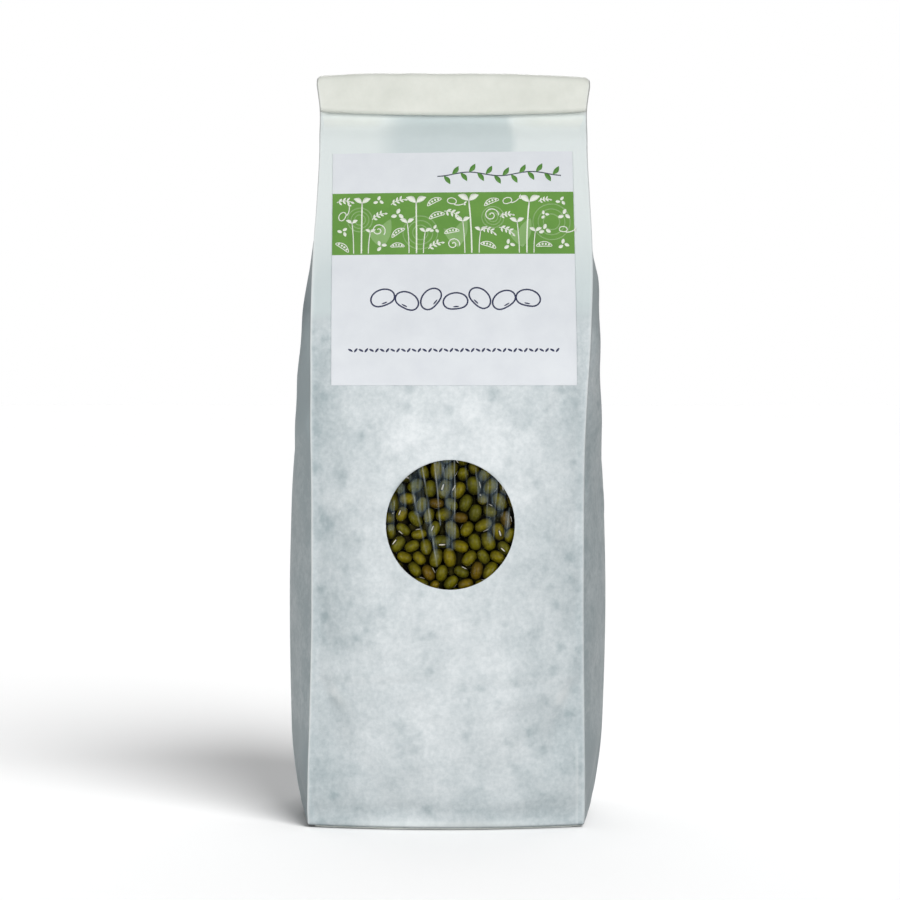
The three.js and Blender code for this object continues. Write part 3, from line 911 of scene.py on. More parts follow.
def make_paper(settings):
    """The bag's one sheet of paper: rows up the bag by columns round it, with the round hole cut
    into the front by joining a ring of spokes to a square left open in the grid."""
    columns, s = paper_columns(), paper_rows()
    rows = Rows(s)
    ring = paper_ring(rows, *columns)
    numbers = np.arange(ring.shape[0] * ring.shape[1]).reshape(ring.shape[:2])
    faces = grid_faces(*numbers.shape, wrap=True)

    reach = WINDOW_RADIUS + WINDOW_MARGIN
    x = ring[np.argmin(np.abs(s - WINDOW_Z)), : len(columns[0]) - 1, 0]
    left, right = np.flatnonzero(np.abs(x - WINDOW_X) < reach)[[0, -1]]
    low, high = np.flatnonzero(np.abs(s - WINDOW_Z) < reach)[[0, -1]]
    square = np.concatenate([
        numbers[low, left:right], numbers[low:high, right], numbers[high, right:left:-1],
        numbers[high:low:-1, left],
    ])
    row, column = np.divmod(faces[:, 0], ring.shape[1])
    inside = (row >= low) & (row < high) & (column >= left) & (column < right)
    spokes = window_ring(ring.reshape(-1, 3)[square][:, [0, 2]])
    x, z = spokes[..., 0], spokes[..., 1]
    joined = np.concatenate([numbers.size + np.arange(x.size).reshape(x.shape), [square]])
    window_faces = joined.ravel()[grid_faces(*joined.shape, wrap=True)[:, ::-1]]

    # Points left inside the open square belong to no face and are dropped.
    used, faces = np.unique(np.concatenate([faces[~inside], window_faces]), return_inverse=True)
    points = np.concatenate([ring.reshape(-1, 3), front_point(x, z).reshape(-1, 3)])[used]
    values = np.concatenate([
        paper_attributes(rows, *columns).reshape(-1, 4),
        beside(*panel_attributes(-1, x, z)).reshape(-1, 4),
    ])[used]
    paper = white_kraft_paper(settings)
    bag = new_piece("bag_paper", points, faces.reshape(-1, 4), "bag_paper", paper, ("paper_bag",))
    write_attributes(bag, **dict(zip(("full", "layers", "crease", "pressed"), values.T)))
    thicken(bag, settings.thickness)
    make_seam(paper, s)
    make_bottom(paper)


def make_seam(paper, s):
    """The glued lap where the sheet's two edges meet: a strip of the rear half of the left gusset,
    laid a paper's thickness outside it."""
    v = np.linspace(0.05, 0.34, 8)
    rows = Rows(s[(s > 4.5) & (s < NECK_HEIGHT - 12)])
    points = gusset_points(-1, 1, v, rows, SEAM_LIFT)
    seam = new_piece("gusset_seam", points, grid_faces(*points.shape[:2]), "bag_paper", paper)
    full = 1 - ease(FILL_HEIGHT - 9, FILL_HEIGHT + 1, rows.z + 0 * v)
    # Painted shade, as over the gussets.
    write_attributes(seam, full=full, layers=0.16, crease=0, pressed=0.6)
    thicken(seam, LAYER)


def make_bottom(paper):
    """The block bottom's folded layers, from the inside out: a plate, a flap from each end that
    narrows at 45 degrees, and two long flaps that lap over the middle. Each is a grid between two
    edges, (x, y, height), a paper's thickness below the last."""
    u = np.linspace(-1, 1, 27)
    t = np.linspace(0, 1, 15)[:, None]
    edge = 23.7 + 4.5 * (1 - u * u)  # the long edge of the footprint, just inside the foot's curve
    sheets = [(38 * u, -edge * (1 - 2 * t), BOTTOM_Z + 0.02)]
    for end in (-1, 1):
        sheets.append((end * (38.2 - 21 * t), end * u * (23.2 - 19 * t), 0.40))
    for side, level, reach in ((1, 0.27, 31.0), (-1, 0.14, 33.0)):
        narrow = 38.0 - np.maximum(t * reach - 13, 0) * 0.95
        sheets.append((side * -u * narrow, side * (edge - reach * t), level))
    grids = [
        (beside(x, y, np.maximum(level + 0.02 * ripple(x, y, 14, 81), 0)), False)
        for x, y, level in sheets
    ]
    bottom = new_piece("block_bottom", *joined_grids(grids, axis=2), "bag_paper", paper)
    write_attributes(bottom, full=0, layers=0.8, crease=0, pressed=0)
    thicken(bottom, LAYER)


# --- Window film ---

# Fine upright folds in the film, from the window's middle: (top, bottom, strength).
FILM_FOLDS = [
    ((-8.2, 18.5), (-3.8, -11.7), 0.9), ((-4.6, 18.5), (-2.8, 0.1), 1.0),
    ((1.1, 18.5), (1.4, -3.8), 0.9), ((-10.8, 9.8), (-6.7, -7.8), 0.7),
    ((-6.6, 8.0), (-4.7, -5.5), 0.6), ((-1.9, 17.0), (-1.3, 6.0), 0.4),
    ((-13.4, 11.0), (-12.6, 3.5), 0.35), ((7.2, 16.0), (7.9, 7.0), 0.5),
    ((10.8, 14.5), (10.3, -1.5), 0.5), ((13.2, 11.5), (12.6, 1.5), 0.45),
    ((16.8, 4.5), (15.8, -3.5), 0.6), ((-15.8, 6.5), (-16.1, -2.5), 0.4),
    ((4.3, 16.5), (4.7, 10.0), 0.3),
]
# Milky stretches between folds: (top, bottom, half width, strength).
FILM_VEILS = [
    ((-0.8, 18.0), (0.2, -6.0), 1.25, 1.0), ((-2.6, 18.5), (-1.4, 10.0), 2.0, 0.9),
    ((-10.2, 16.0), (-8.6, 4.0), 1.7, 0.9), ((-14.0, 11.0), (-13.4, 5.0), 1.1, 0.7),
    ((-7.0, 6.5), (-5.4, -3.5), 1.0, 0.8), ((-5.0, -1.0), (-3.9, -9.0), 0.6, 0.6),
    ((12.4, 14.0), (11.4, -4.0), 1.0, 1.0), ((8.9, 14.0), (9.3, 7.5), 1.4, 0.8),
    ((14.8, 9.0), (14.0, 3.0), 1.0, 0.7), ((16.3, 3.0), (16.0, -3.0), 0.7, 0.8),
    ((-16.6, 6.0), (-16.8, -1.0), 0.9, 0.8),
]
FOLD_WIDTH = 0.16
FILM_BEHIND = 0.78  # the film's face, from the solids' outer face
TOUCH_DEPTH = 2.6  # a bean whose middle is nearer the film than this touches it
TOUCH_LENGTH, TOUCH_WIDTH = 2.5, 1.75  # about half the length and width of an average bean


def touched_by_beans(across, up, seed):
    """1 where a bean touches the film, 0 between beans. A bean of half length a and half width b,
    whose axis leans out of the film's plane, covers the ellipse
    (along / a')^2 + (side / b)^2 < 1, where a'^2 = a^2 c^2 + b^2 (1 - c^2) and c is the share of
    the axis that lies in the plane."""
    middle, axis, size = settle_heap(np.random.default_rng(seed))
    front = middle[:, 1] < TOUCH_DEPTH
    middle, axis, size = middle[front], axis[front], size[front]
    in_plane = np.hypot(axis[:, 0], axis[:, 2])
    lean_x, lean_z = axis[:, [0, 2]].T / np.maximum(in_plane, 1e-6)
    b = TOUCH_WIDTH * size
    a = np.sqrt((TOUCH_LENGTH * size * in_plane) ** 2 + b**2 * (1 - in_plane**2))
    dx = across[..., None] - middle[:, 0]
    dz = up[..., None] - middle[:, 2]
    along, side = dx * lean_x + dz * lean_z, dz * lean_x - dx * lean_z
    nearest = np.min(np.hypot(along / a, side / b), axis=-1)
    return 1 - ease(0.82, 1.12, nearest)


def make_film(settings, seed):
    """A square of film behind the hole: the panel's own bow, with a thin ridge along each fold and
    a slow swell between them. `seed` is the beans', so that it is milky where they touch it."""
    half = settings.side / MM / 2
    fine = WINDOW_RADIUS + 0.7
    columns = spread((-half, -fine, 1.0), (-fine, fine, 0.20), (fine, half, 1.0))
    rows = spread((-half, -fine, 1.0), (-fine, fine, 0.5), (fine, half, 1.0))
    across, up = np.meshgrid(columns, rows)
    wandering = across + 0.05 * ripple(0 * across, up, 9, 91)
    fold = haze = 0.0
    for top, bottom, strength in FILM_FOLDS:
        line = ridge(from_segment(wandering, up, top, bottom), FOLD_WIDTH)
        fold = np.maximum(fold, strength * line)
    for top, bottom, width, strength in FILM_VEILS:
        distance = from_segment(wandering, up, top, bottom)
        haze = np.maximum(haze, strength * (1 - ease(0.8 * width, 1.15 * width, distance)))
    haze = haze * (0.72 + 0.28 * ripple(across, 0.12 * up, 0.9, 92))
    haze = haze * (0.3 + 0.7 * touched_by_beans(across, up, seed))
    fold = fold * (0.75 + 0.25 * ripple(across, up, 4, 93))
    lift = 0.06 * fold + 0.03 * haze + 0.05 * ripple(across, 0.4 * up, 6, 94)
    x, z = WINDOW_X + across, WINDOW_Z + up
    points = beside(x, FILM_BEHIND - OUTER_FACE - lift - front_depth(x, z), z)
    film = new_piece(
        "window_pane", points, grid_faces(*x.shape), "clear_film", polypropylene_film(settings),
        ("window_film",),
    )
    write_attributes(film, fold=np.clip(fold, 0, 1), haze=np.clip(haze, 0, 1))
    thicken(film, settings.thickness)


# --- Label and its print ---

# A flat shape is (grid, closed): points (s, t) on the label, of which the first axis goes along the
# shape and the second across it, and whether its end is joined to its start.
LABEL_HALF = 35.0
LABEL_LIFT = 0.28  # the label's face, from the solids' outer face
INK = 0.03  # each ink's face, above the paper or ink under it
INK_THICKNESS = 0.02 * MM
INK_ROUGHNESS = 0.42
THIN, LINE = 0.26, 0.30  # widths of drawn lines


def on_label(s, t, lift):
    """Points on the label, s across and t up from its middle: turned by LABEL_TURN, which grows
    upwards as the bag twists a little, laid on the front panel and lifted off it."""
    turn = LABEL_TURN * (1 + t / LABEL_HALF)
    height = LABEL_Z + (t * math.cos(LABEL_TURN) + s * np.sin(turn)) * LABEL_RISE
    across = LABEL_X + s * math.cos(LABEL_TURN) - t * math.sin(LABEL_TURN)
    from_edge = LABEL_HALF - np.maximum(np.abs(s), np.abs(t))
    loose = 0.05 * ridge(from_edge, 2.0) + 0.02 * ripple(s, t, 18, 101)
    return front_point(across, height, LABEL_LIFT + lift + loose)


def leaf(base, tip, width, bend=0.0, pointed=1.0):
    """A leaf from base to tip: its half width is that of sin(pi a)^pointed along it, and its
    middle line bows sideways by bend times sin(pi a)."""
    along = np.subtract(tip, base)
    sideways = np.array([-along[1], along[0]]) / np.hypot(*along)
    a = np.linspace(0.015, 0.985, 11)[:, None, None]
    b = np.array([-1, 0, 1])[None, :, None]
    half = 0.5 * width * np.sin(np.pi * a) ** pointed
    return base + along * a + sideways * (half * b + bend * np.sin(np.pi * a)), False


def stroke(points, width, closed=False):
    """A line of even width along points: each is set out to both sides along its normal."""
    if closed:
        along = unit(np.roll(points, -1, axis=0) - np.roll(points, 1, axis=0))
    else:
        along = unit(np.gradient(points, axis=0))
    sideways = np.stack([-along[:, 1], along[:, 0]], axis=-1) * width / 2
    return np.stack([points - sideways, points + sideways], axis=1), closed


def seed_mark(middle, turn, reach, width, pointed=0.6):
    """A seed: a blunt leaf that reaches as far to both sides of its middle."""
    along = reach * np.array([math.cos(turn), math.sin(turn)])
    return leaf(middle - along, middle + along, width, pointed=pointed)


def moved(points, middle, turn):
    """Flat points turned about their origin and moved to a middle."""
    cos, sin = math.cos(turn), math.sin(turn)
    return points @ np.array([[cos, sin], [-sin, cos]]) + middle


def circle(count):
    return np.linspace(0, 2 * np.pi, count, endpoint=False)


def bean_outline(middle, size, turn, width):
    """The outline of a bean: an ellipse 1.35 times as long as wide, with a shallow hollow on one
    side of 0.16 cos^4."""
    a = circle(28)
    hollow = 0.16 * np.clip(-np.sin(a), 0, 1) ** 4
    outline = size * np.stack([0.675 * np.cos(a), 0.5 * (np.sin(a) + hollow)], axis=-1)
    return stroke(moved(outline, middle, turn), width, closed=True)


def seedling(root, height, lean, leaf_size, width):
    """A stem that leans as the square of its height and two leaves at its top."""
    a = np.linspace(0, 1, 9)
    stem = np.stack([root[0] + lean * a**2, root[1] + height * a], axis=-1)
    shapes = [stroke(stem, width)]
    for side in (-1, 1):
        tip = stem[-1] + [side * leaf_size * 0.95 + 0.2 * lean, leaf_size * 0.55]
        shapes.append(leaf(stem[-1], tip, 0.55 * leaf_size, side * 0.12 * leaf_size))
    return shapes


def sprig(size):
    """A bowed stem, lower at its ends by 0.5 a^2, with pairs of leaves along it."""
    a = np.linspace(-0.5, 0.5, 9)
    stem = np.stack([a, 0.1 - 0.5 * a * a], axis=-1) * size
    shapes = [stroke(stem, THIN)]
    for base in stem[[1, 3, 5]]:
        for side in (-1, 1):
            shapes.append(leaf(base, base + np.array([0.2, side * 0.22]) * size, 0.13 * size))
    shapes.append(leaf(stem[-2], stem[-1] + np.array([0.12, -0.05]) * size, 0.13 * size))
    return shapes


def pod(size):
    """A bowed pod drawn as a line round an ellipse, with four seeds in a row in it."""
    a = circle(30)
    x = 0.5 * np.cos(a)
    y = 0.15 * np.sin(a) * np.abs(np.sin(a)) ** 0.3 - 0.5 * x * x
    # The line's two ends are set out on their own and then joined, which leaves the pod a point.
    line, _ = stroke(np.stack([x, y], axis=-1) * size, THIN)
    shapes = [(line, True)]
    for x in (-0.3, -0.1, 0.1, 0.3):
        shapes.append(seed_mark(np.array([x, -0.5 * x * x]) * size, 0, 0.07 * size, 0.15 * size))
    return shapes


def curl(size):
    """A tendril: a spiral whose radius falls from 0.42 to 0.05 over one and a half turns."""
    a = np.linspace(0, 1, 24)
    radius, angle = size * (0.42 - 0.37 * a), 3 * np.pi * a
    return [stroke(np.stack([radius * np.cos(angle), radius * np.sin(angle)], axis=-1), LINE)]


def sprout(size):
    """A bean with its first root, which bows as the square of its length, and two small leaves."""
    a = np.linspace(0, 1, 10)
    root = np.stack([0.22 + 0.5 * a, -0.1 + 0.35 * a * a], axis=-1) * size
    shapes = [bean_outline((0, 0), 0.42 * size, 0.4, 0.28), stroke(root, LINE)]
    for side in (-1, 1):
        tip = root[-1] + np.array([0.12 + 0.05 * side, 0.14 - 0.12 * side]) * size
        shapes.append(leaf(root[-1], tip, 0.12 * size))
    return shapes


def seeds(size):
    """Three seeds in a loose triangle."""
    places = ((-0.2, -0.1, 0.3), (0.2, -0.05, -0.6), (0.0, 0.22, 1.2))
    return [seed_mark(np.array([x, y]) * size, turn, 0.17 * size, 0.22 * size) for x, y, turn in places]


def band_print(rng, low, high):
    """The band's two tints: white seedlings, pods, sprigs, sprouts, tendrils and seeds of several
    sizes all over it, and behind them paler green rings and leaves. Places are seeded."""
    white, pale = [], []
    motifs = (sprig, pod, sprout, curl, seeds, sprig, seeds, pod)
    ground = low + 0.4
    for column, x in enumerate(np.arange(-31.8, 33, 5.3)):
        if column % 3 == 1:
            tall = rng.uniform(0.72, 0.86) * (high - low)
            leaf_size = rng.uniform(2.6, 3.4)
            white += seedling((x, ground), tall, rng.uniform(-1, 1), leaf_size, 0.42)
            for side, share, leaf_share in ((1, 0.42, 0.6), (-1, 0.6, 0.7)):
                root = (x + side * rng.uniform(1.9, 2.3), ground)
                white += seedling(root, share * tall, 0.5 * side, leaf_share * leaf_size, LINE)
            continue
        for row, y in enumerate((low + 2.8, low + 7.3, low + 11.8, low + 16.2)):
            motif = motifs[(3 * column + 5 * row + int(rng.integers(0, 2))) % len(motifs)]
            size = rng.uniform(3.6, 5.4)
            middle = (x + rng.uniform(-0.5, 0.5), y + rng.uniform(-0.3, 0.3))
            turn = rng.uniform(-0.7, 0.7)
            drawn = motif(min(size, 4.6) if row in (0, 3) else size)
            white += [(moved(grid, middle, turn), closed) for grid, closed in drawn]
    a = circle(56)
    for x, y, radius in ((-27, 14.5, 3.6), (-9.5, 10.5, 5.0), (11.5, 15.0, 3.2), (28.5, 13.5, 5.4)):
        for scale in (1.0, 0.72, 0.44):
            ring = scale * radius * np.stack([np.cos(a), np.sin(a)], axis=-1)
            pale.append(stroke(ring + [x, y], 0.4, closed=True))
    for x in (-20.5, 1.5, 20.0):
        base = np.array([x, low + 2.0])
        pale.append(leaf(base, base + [2.5, 9.0], 3.6, bend=0.6))
        pale.append(leaf(base, base + [-4.5, 6.0], 2.8, bend=-0.6))
    return white, pale


def lower_print():
    """Below the band: a row of thin bean outlines, each with its scar, and a fine row of seeds."""
    shapes = []
    turns = (0.35, -0.5, 0.9, 0.1, -0.8, 0.55, -0.2)
    raised = (0.5, -0.4, 0.2, -0.6, 0.4, -0.2, 0.3)
    for x, turn, up in zip(np.linspace(-20.3, 21.3, 7), turns, raised):
        middle = np.array([x, -9.8 + up])
        shapes.append(bean_outline(middle, 5.2, turn, 0.46))
        out = np.array([math.sin(turn), -math.cos(turn)])
        shapes.append(seed_mark(middle + out * 1.5, turn, 0.9, 0.42, pointed=0.5))
    for k, x in enumerate(np.linspace(-29.5, 29.5, 40)):
        shapes.append(seed_mark(np.array([x, -24.7]), 0.9 if k % 2 else -0.5, 0.78, 0.62))
    return shapes


def vine_print():
    """Above the band, to the right: a thin stem, and leaves on both sides of it in turn."""
    x = np.linspace(-4.5, 31.5, 60)
    stem = np.stack([x, 28.2 + 0.6 * np.sin(x / 2.9)], axis=-1)
    leaves = []
    for k, base in enumerate(stem[3:58:4]):
        side = 1 if k % 2 else -1
        leaves.append(leaf(base, base + [1.9, side * 2.6], 1.35, bend=-side * 0.2))
    return [stroke(stem, 0.34)], leaves


def ink_piece(name, shapes, lift, hex_colour, darker):
    """One ink's flat shapes as one mesh, laid on the label."""
    laid = [
        (on_label(grid[..., 0], grid[..., 1], lift).transpose(1, 0, 2), closed)
        for grid, closed in shapes
    ]
    ink = coated_paper(name.replace("print", "ink"), hex_colour, darker, INK_ROUGHNESS)
    piece = new_piece(name, *joined_grids(laid, axis=1), "label_paper", ink)
    thicken(piece, INK_THICKNESS)
    flat_shading(piece)


def make_label(settings):
    """The label as a grid over its square, with rows on the band's edges so that its two papers
    meet there, and the print laid on it."""
    half = settings.side / MM / 2
    low, high = settings.band_bottom / MM, settings.band_top / MM
    s = spread((-half, half, 1.25))
    t = spread((-half, low, 1.25), (low, high, 1.2), (high, half, 1.2))
    stock = coated_paper("coated_label_paper", "#e8ecf0", "#e2e6eb", 0.45)
    points, faces = on_label(s, t[:, None], 0.0), grid_faces(len(t), len(s))
    label = new_piece("front_label", points, faces, "label_paper", stock, ("label",))
    middle = (t[:-1] + t[1:]) / 2
    in_band = np.repeat((middle > low) & (middle < high), len(s) - 1)
    band = coated_paper("green_band_ink", "#6f9f48", "#659643", INK_ROUGHNESS)
    second_material(label, band, in_band)
    thicken(label, settings.thickness)
    flat_shading(label)

    white, pale = band_print(np.random.default_rng(5), low, high)
    stem, leaves = vine_print()
    ink_piece("print_pale_green", pale, INK, "#8fb673", "#86ae6b")
    ink_piece("print_white", white, 2 * INK, "#f2f6ec", "#e9f0e0")
    ink_piece("print_navy", lower_print(), INK, "#33395a", "#2b3050")
    ink_piece("print_stem", stem, INK, "#4a5560", "#434d58")
    ink_piece("print_leaves", leaves, 2 * INK, "#5f9440", "#548a3a")


# --- Beans ---

WINDOW_HEAP = 26.0  # half the side of the square heap of whole beans behind the window
HEAP_DEPTH = 12.5
HEAP_PITCH = 4.45
BEHIND_FACE = 1.15  # from the middle of the solids' front paper to the nearest a bean may come
BALL_RADII = (1.55, 1.85, 1.55)  # of the three balls that stand for an average settling bean
ROD_HALF = 1.12  # from the middle of its middle ball to that of an end ball
NEARBY = 7.0  # beans whose middles are farther apart than this cannot touch
SHOWN_MARGIN, SHOWN_DEPTH = 3.2, 7.5  # finer beans lie this far round the window and behind it
SCAR_DEPTH = 3.4  # beans that lie deeper show no scar
COAT_INSET, CORE_INSET = 3.6, 5.0  # from the middle of the solids' paper
COAT_PITCH, COAT_RISE = 4.3, 4.1  # between the coat's beans round a ring, and between its rings


def bean_shape(around, along):
    """A bean of length, width and depth 1 about X: x = -cos(p) / 2, a little squared off, and a
    round section of radius sin(p)^0.78 / 2, flattened by 0.07 on its scar's side. Rows run from
    pole to pole, the poles are single points, and a bean has a few dozen faces."""
    p = np.linspace(0, np.pi, along + 1)[1:-1, None]
    q = circle(around)
    radius = 0.5 * np.sin(p) ** 0.78
    flat = 1 - 0.07 * np.clip(np.cos(q), 0, 1) ** 2
    x = -0.5 * np.cos(p) * (1 + 0.03 * np.sin(p) ** 2)
    body = beside(x, radius * np.sin(q), radius * np.cos(q) * flat).reshape(-1, 3)
    squares = grid_faces(along - 1, around, wrap=True)
    caps = pole_caps(around, len(body) - around, len(body), len(body) + 1)
    points = np.concatenate([body, [[-0.5, 0, 0], [0.5, 0, 0]]])
    return points, (squares[:, ::-1], caps[:, ::-1])


def turned(axis, spin):
    """Rotations that take X to each axis, after a spin about X: columns are the axis and two
    directions square to it."""
    helper = np.where(np.abs(axis[:, 2:]) < 0.9, [[0.0, 0.0, 1.0]], [[1.0, 0.0, 0.0]])
    side = unit(np.cross(helper, axis))
    up = np.cross(axis, side)
    cos, sin = np.cos(spin)[:, None], np.sin(spin)[:, None]
    return np.stack([axis, cos * side + sin * up, cos * up - sin * side], axis=-1)


def scatter(shape, places, rotations, sizes):
    """Copies of a shape, each scaled along its own axes, turned and moved, as one mesh."""
    points, faces = shape
    scaled = points[None] * sizes[:, None, :]
    copies = np.einsum("nij,nkj->nki", rotations, scaled) + places[:, None]
    shift = np.arange(len(places))[:, None, None] * len(points)
    copied = tuple((part[None] + shift).reshape(-1, part.shape[1]) for part in faces)
    return copies.reshape(-1, 3), copied


def heap_grid():
    """Where the beans of the heap start: a staggered grid, its layers a little closer together."""
    layers = int(HEAP_DEPTH / (0.86 * HEAP_PITCH)) + 1
    x, y, z = np.meshgrid(
        np.arange(-WINDOW_HEAP, WINDOW_HEAP, HEAP_PITCH),
        np.arange(layers) * 0.84 * HEAP_PITCH + 2.0,
        np.arange(-WINDOW_HEAP, WINDOW_HEAP, 0.92 * HEAP_PITCH), indexing="ij",
    )
    x = x + 0.5 * HEAP_PITCH * (np.arange(z.shape[2]) % 2)
    x = x + 0.4 * HEAP_PITCH * (np.arange(layers) % 2)[None, :, None]
    return np.stack([x, y, z], axis=-1).reshape(-1, 3)


def rod_ends(middle, axis, half):
    return np.stack([middle - axis * half[:, None], middle + axis * half[:, None]], axis=1)


def settle_heap(rng, rounds=150):
    """Beans packed behind the window. Each is a short rod with three balls on it. Balls that
    overlap push each other's rods apart, the film and the sides push them back, and a steady
    drift presses them down and against the film. Returns middles, with y from the film's face
    backwards, axes and sizes."""
    middle = heap_grid()
    middle = middle + rng.normal(0, 0.55, middle.shape)
    size = np.clip(rng.normal(1.0, 0.10, len(middle)), 0.78, 1.20)
    axis = unit(rng.normal(0, 1, middle.shape) * [1.0, 1.9, 1.0])
    half = ROD_HALF * size
    ends = rod_ends(middle, axis, half)
    radii = size[:, None] * np.array(BALL_RADII)
    share = np.array([[1.0, 0.0], [0.5, 0.5], [0.0, 1.0]])  # how far each ball follows each end
    low = np.array([-WINDOW_HEAP, 0.0, -WINDOW_HEAP])
    high = np.array([WINDOW_HEAP, HEAP_DEPTH, WINDOW_HEAP])
    for step in range(rounds):
        # The pairs that may touch are looked up anew now and then.
        if step % 15 == 0:
            middle = ends.mean(axis=1)
            apart = np.linalg.norm(middle[:, None] - middle[None], axis=-1)
            first, second = np.nonzero(np.triu(apart < NEARBY, 1))
        ends += np.array([0.0, -0.02, -0.01]) * (step < rounds - 40)
        balls = np.einsum("be,nei->nbi", share, ends)
        push = np.zeros_like(ends)
        for a in range(3):
            for b in range(3):
                between = balls[second, b] - balls[first, a]
                distance = np.linalg.norm(between, axis=1)
                overlap = np.maximum(radii[first, a] + radii[second, b] - distance, 0)
                move = between / np.maximum(distance, 1e-6)[:, None] * (0.28 * overlap)[:, None]
                np.add.at(push, first, -move[:, None] * share[a][None, :, None])
                np.add.at(push, second, move[:, None] * share[b][None, :, None])
        ends += push
        balls = np.einsum("be,nei->nbi", share, ends)
        r = radii[..., None]
        back = np.maximum(low + r - balls, 0) - np.maximum(balls + r - high, 0)
        ends += 0.7 * np.einsum("be,nbi->nei", share, back)
        middle = ends.mean(axis=1)
        axis = unit(ends[:, 1] - ends[:, 0])
        ends = rod_ends(middle, axis, half)
    return middle, axis, size


def surface_rings():
    """Rings of points on the filling, a little inside the paper and evenly apart, then rings over
    the low mound on top."""
    places = []
    for k, z in enumerate(np.arange(COAT_INSET, FILL_HEIGHT - 3, COAT_RISE)):
        ring = filling_ring(z, COAT_INSET)
        closed = np.concatenate([ring, ring[:1]])
        length = np.concatenate([[0], np.cumsum(np.linalg.norm(np.diff(closed, axis=0), axis=1))])
        count = int(length[-1] / COAT_PITCH)
        at = (np.arange(count) + 0.5 * (k % 2)) / count * length[-1]
        places.append(np.stack([np.interp(at, length, axis) for axis in closed.T], axis=-1))
    rim = places[-1]
    for size in np.arange(0.88, 0.05, -0.115):
        thin = rim[:: 1 + int(0.9 / size)]
        places.append(thin * [size, size, 1.0] + [0, 0, 1.0 + 2.6 * (1 - size)])
    return places


def from_window(points):
    """How far points are from the window's middle, across or up, whichever is more."""
    return np.abs(points[:, [0, 2]] - [WINDOW_X, WINDOW_Z]).max(axis=1)


def behind_film(points):
    """How far points lie behind the surface that the nearest beans touch."""
    x, y, z = points.T
    return y + front_depth(x, z) - BEHIND_FACE


def shade_between_beans(points):
    """Shade on the beans: 1 - exp(-(depth / 1.2 mm)^1.15), nothing where they touch the film."""
    return 1 - np.exp(-((np.maximum(behind_film(points), 0) / 1.2) ** 1.15))


def heap_at_window(rng):
    """The settled heap, bent to lie behind the bowed front panel."""
    middle, axis, size = settle_heap(rng)
    across, behind, up = middle.T
    x, z = WINDOW_X + across, WINDOW_Z + up
    return beside(x, behind + BEHIND_FACE - front_depth(x, z), z), axis, size


def place_of_filling(rng):
    """Middles of the beans that coat the rest of the filling, clear of the heap at the window."""
    places = np.concatenate(surface_rings())
    places = places[(places[:, 1] > 0) | (from_window(places) > WINDOW_HEAP + 0.8)]
    return places + rng.normal(0, 0.25, places.shape)


def bean_piece(name, shape, beans, least_shade, coat, replaces=()):
    """Beans of one shape as one mesh. `beans` are their middles, rotations, sizes and tones."""
    *placing, tones = beans
    points, faces = scatter(shape, *placing)
    piece = new_piece(name, points, faces, "bean_skin", coat, replaces)
    shade = np.maximum(least_shade, shade_between_beans(points))
    write_attributes(piece, tone=np.repeat(tones, len(shape[0])), depth=shade)


def make_beans(settings):
    """The beans that the window shows, the rest of the heap behind it and a coat of coarser beans
    over the rest of the filling, and a plain core inside them all."""
    rng = np.random.default_rng(settings.seed)
    average = np.array([settings.length, settings.width, 0.97 * settings.width]) / MM
    coat = mung_bean_coat(settings)

    middle, axis, size = heap_at_window(rng)
    count = len(middle)
    spin = rng.uniform(0, 2 * np.pi, count)
    turns_away = turned(axis, spin)[:, 1, 2] < -0.3
    spin = spin + np.pi * (turns_away & (rng.random(count) < 0.35))
    rotations = turned(axis, spin)
    scale = 0.95 * size[:, None] * average * rng.normal(1, 0.03, (count, 3))
    tone = 0.8 * rng.beta(2.2, 2.6, count)
    tone = np.where(rng.random(count) < 0.12, rng.uniform(0.82, 1.0, count), tone)
    from_axis = np.hypot(middle[:, 0] - WINDOW_X, middle[:, 2] - WINDOW_Z)
    depth = behind_film(middle)
    shown = (from_axis < WINDOW_RADIUS + SHOWN_MARGIN) & (depth < SHOWN_DEPTH)
    near = shown & (depth < SCAR_DEPTH)

    heap = (middle, rotations, scale, tone)
    at_window = [part[shown] for part in heap]
    bean_piece("window_beans", bean_shape(10, 7), at_window, 0, coat, ("mung_beans",))
    make_scars(middle[near], rotations[near], scale[near], size[near])

    places = place_of_filling(rng)
    axes = unit(rng.normal(0, 1, places.shape))
    sizes = rng.normal(1, 0.06, (len(places), 1)) * average
    turns = turned(axes, rng.uniform(0, 2 * np.pi, len(places)))
    tones = rng.uniform(0.1, 0.8, len(places))
    coating = (places, turns, sizes, tones)
    others = [np.concatenate([part[~shown], more]) for part, more in zip(heap, coating)]
    # The coarser beans carry at least this much painted shade.
    bean_piece("filling_beans", bean_shape(7, 5), others, 0.3, coat)
    make_core(coat)


def make_scars(middle, rotations, scale, size):
    """A scar on each bean's flattened side, barely proud of the skin and ringed with brown."""
    out = rotations[:, :, 2]
    skin = middle + out * 0.5 * 0.93 * scale[:, 2:]
    long = size[:, None]
    scar = scatter(bean_shape(6, 5), skin - 0.05 * out, rotations, long * [1.75, 0.46, 0.28])
    rim = scatter(bean_shape(6, 5), skin - 0.10 * out, rotations, long * [2.15, 0.9, 0.28])
    points = np.concatenate([scar[0], rim[0]])
    faces = tuple(np.concatenate([a, b + len(scar[0])]) for a, b in zip(scar[1], rim[1]))
    chalky = seed_scar("#f6efe2", "#d9ccb4")
    scars = new_piece("bean_scars", points, faces, "bean_skin", chalky)
    of_rim = np.concatenate([np.repeat([0, 1], len(part) // 2) for part in faces])
    second_material(scars, seed_scar("#2c2a0c", "#221f0a"), of_rim)


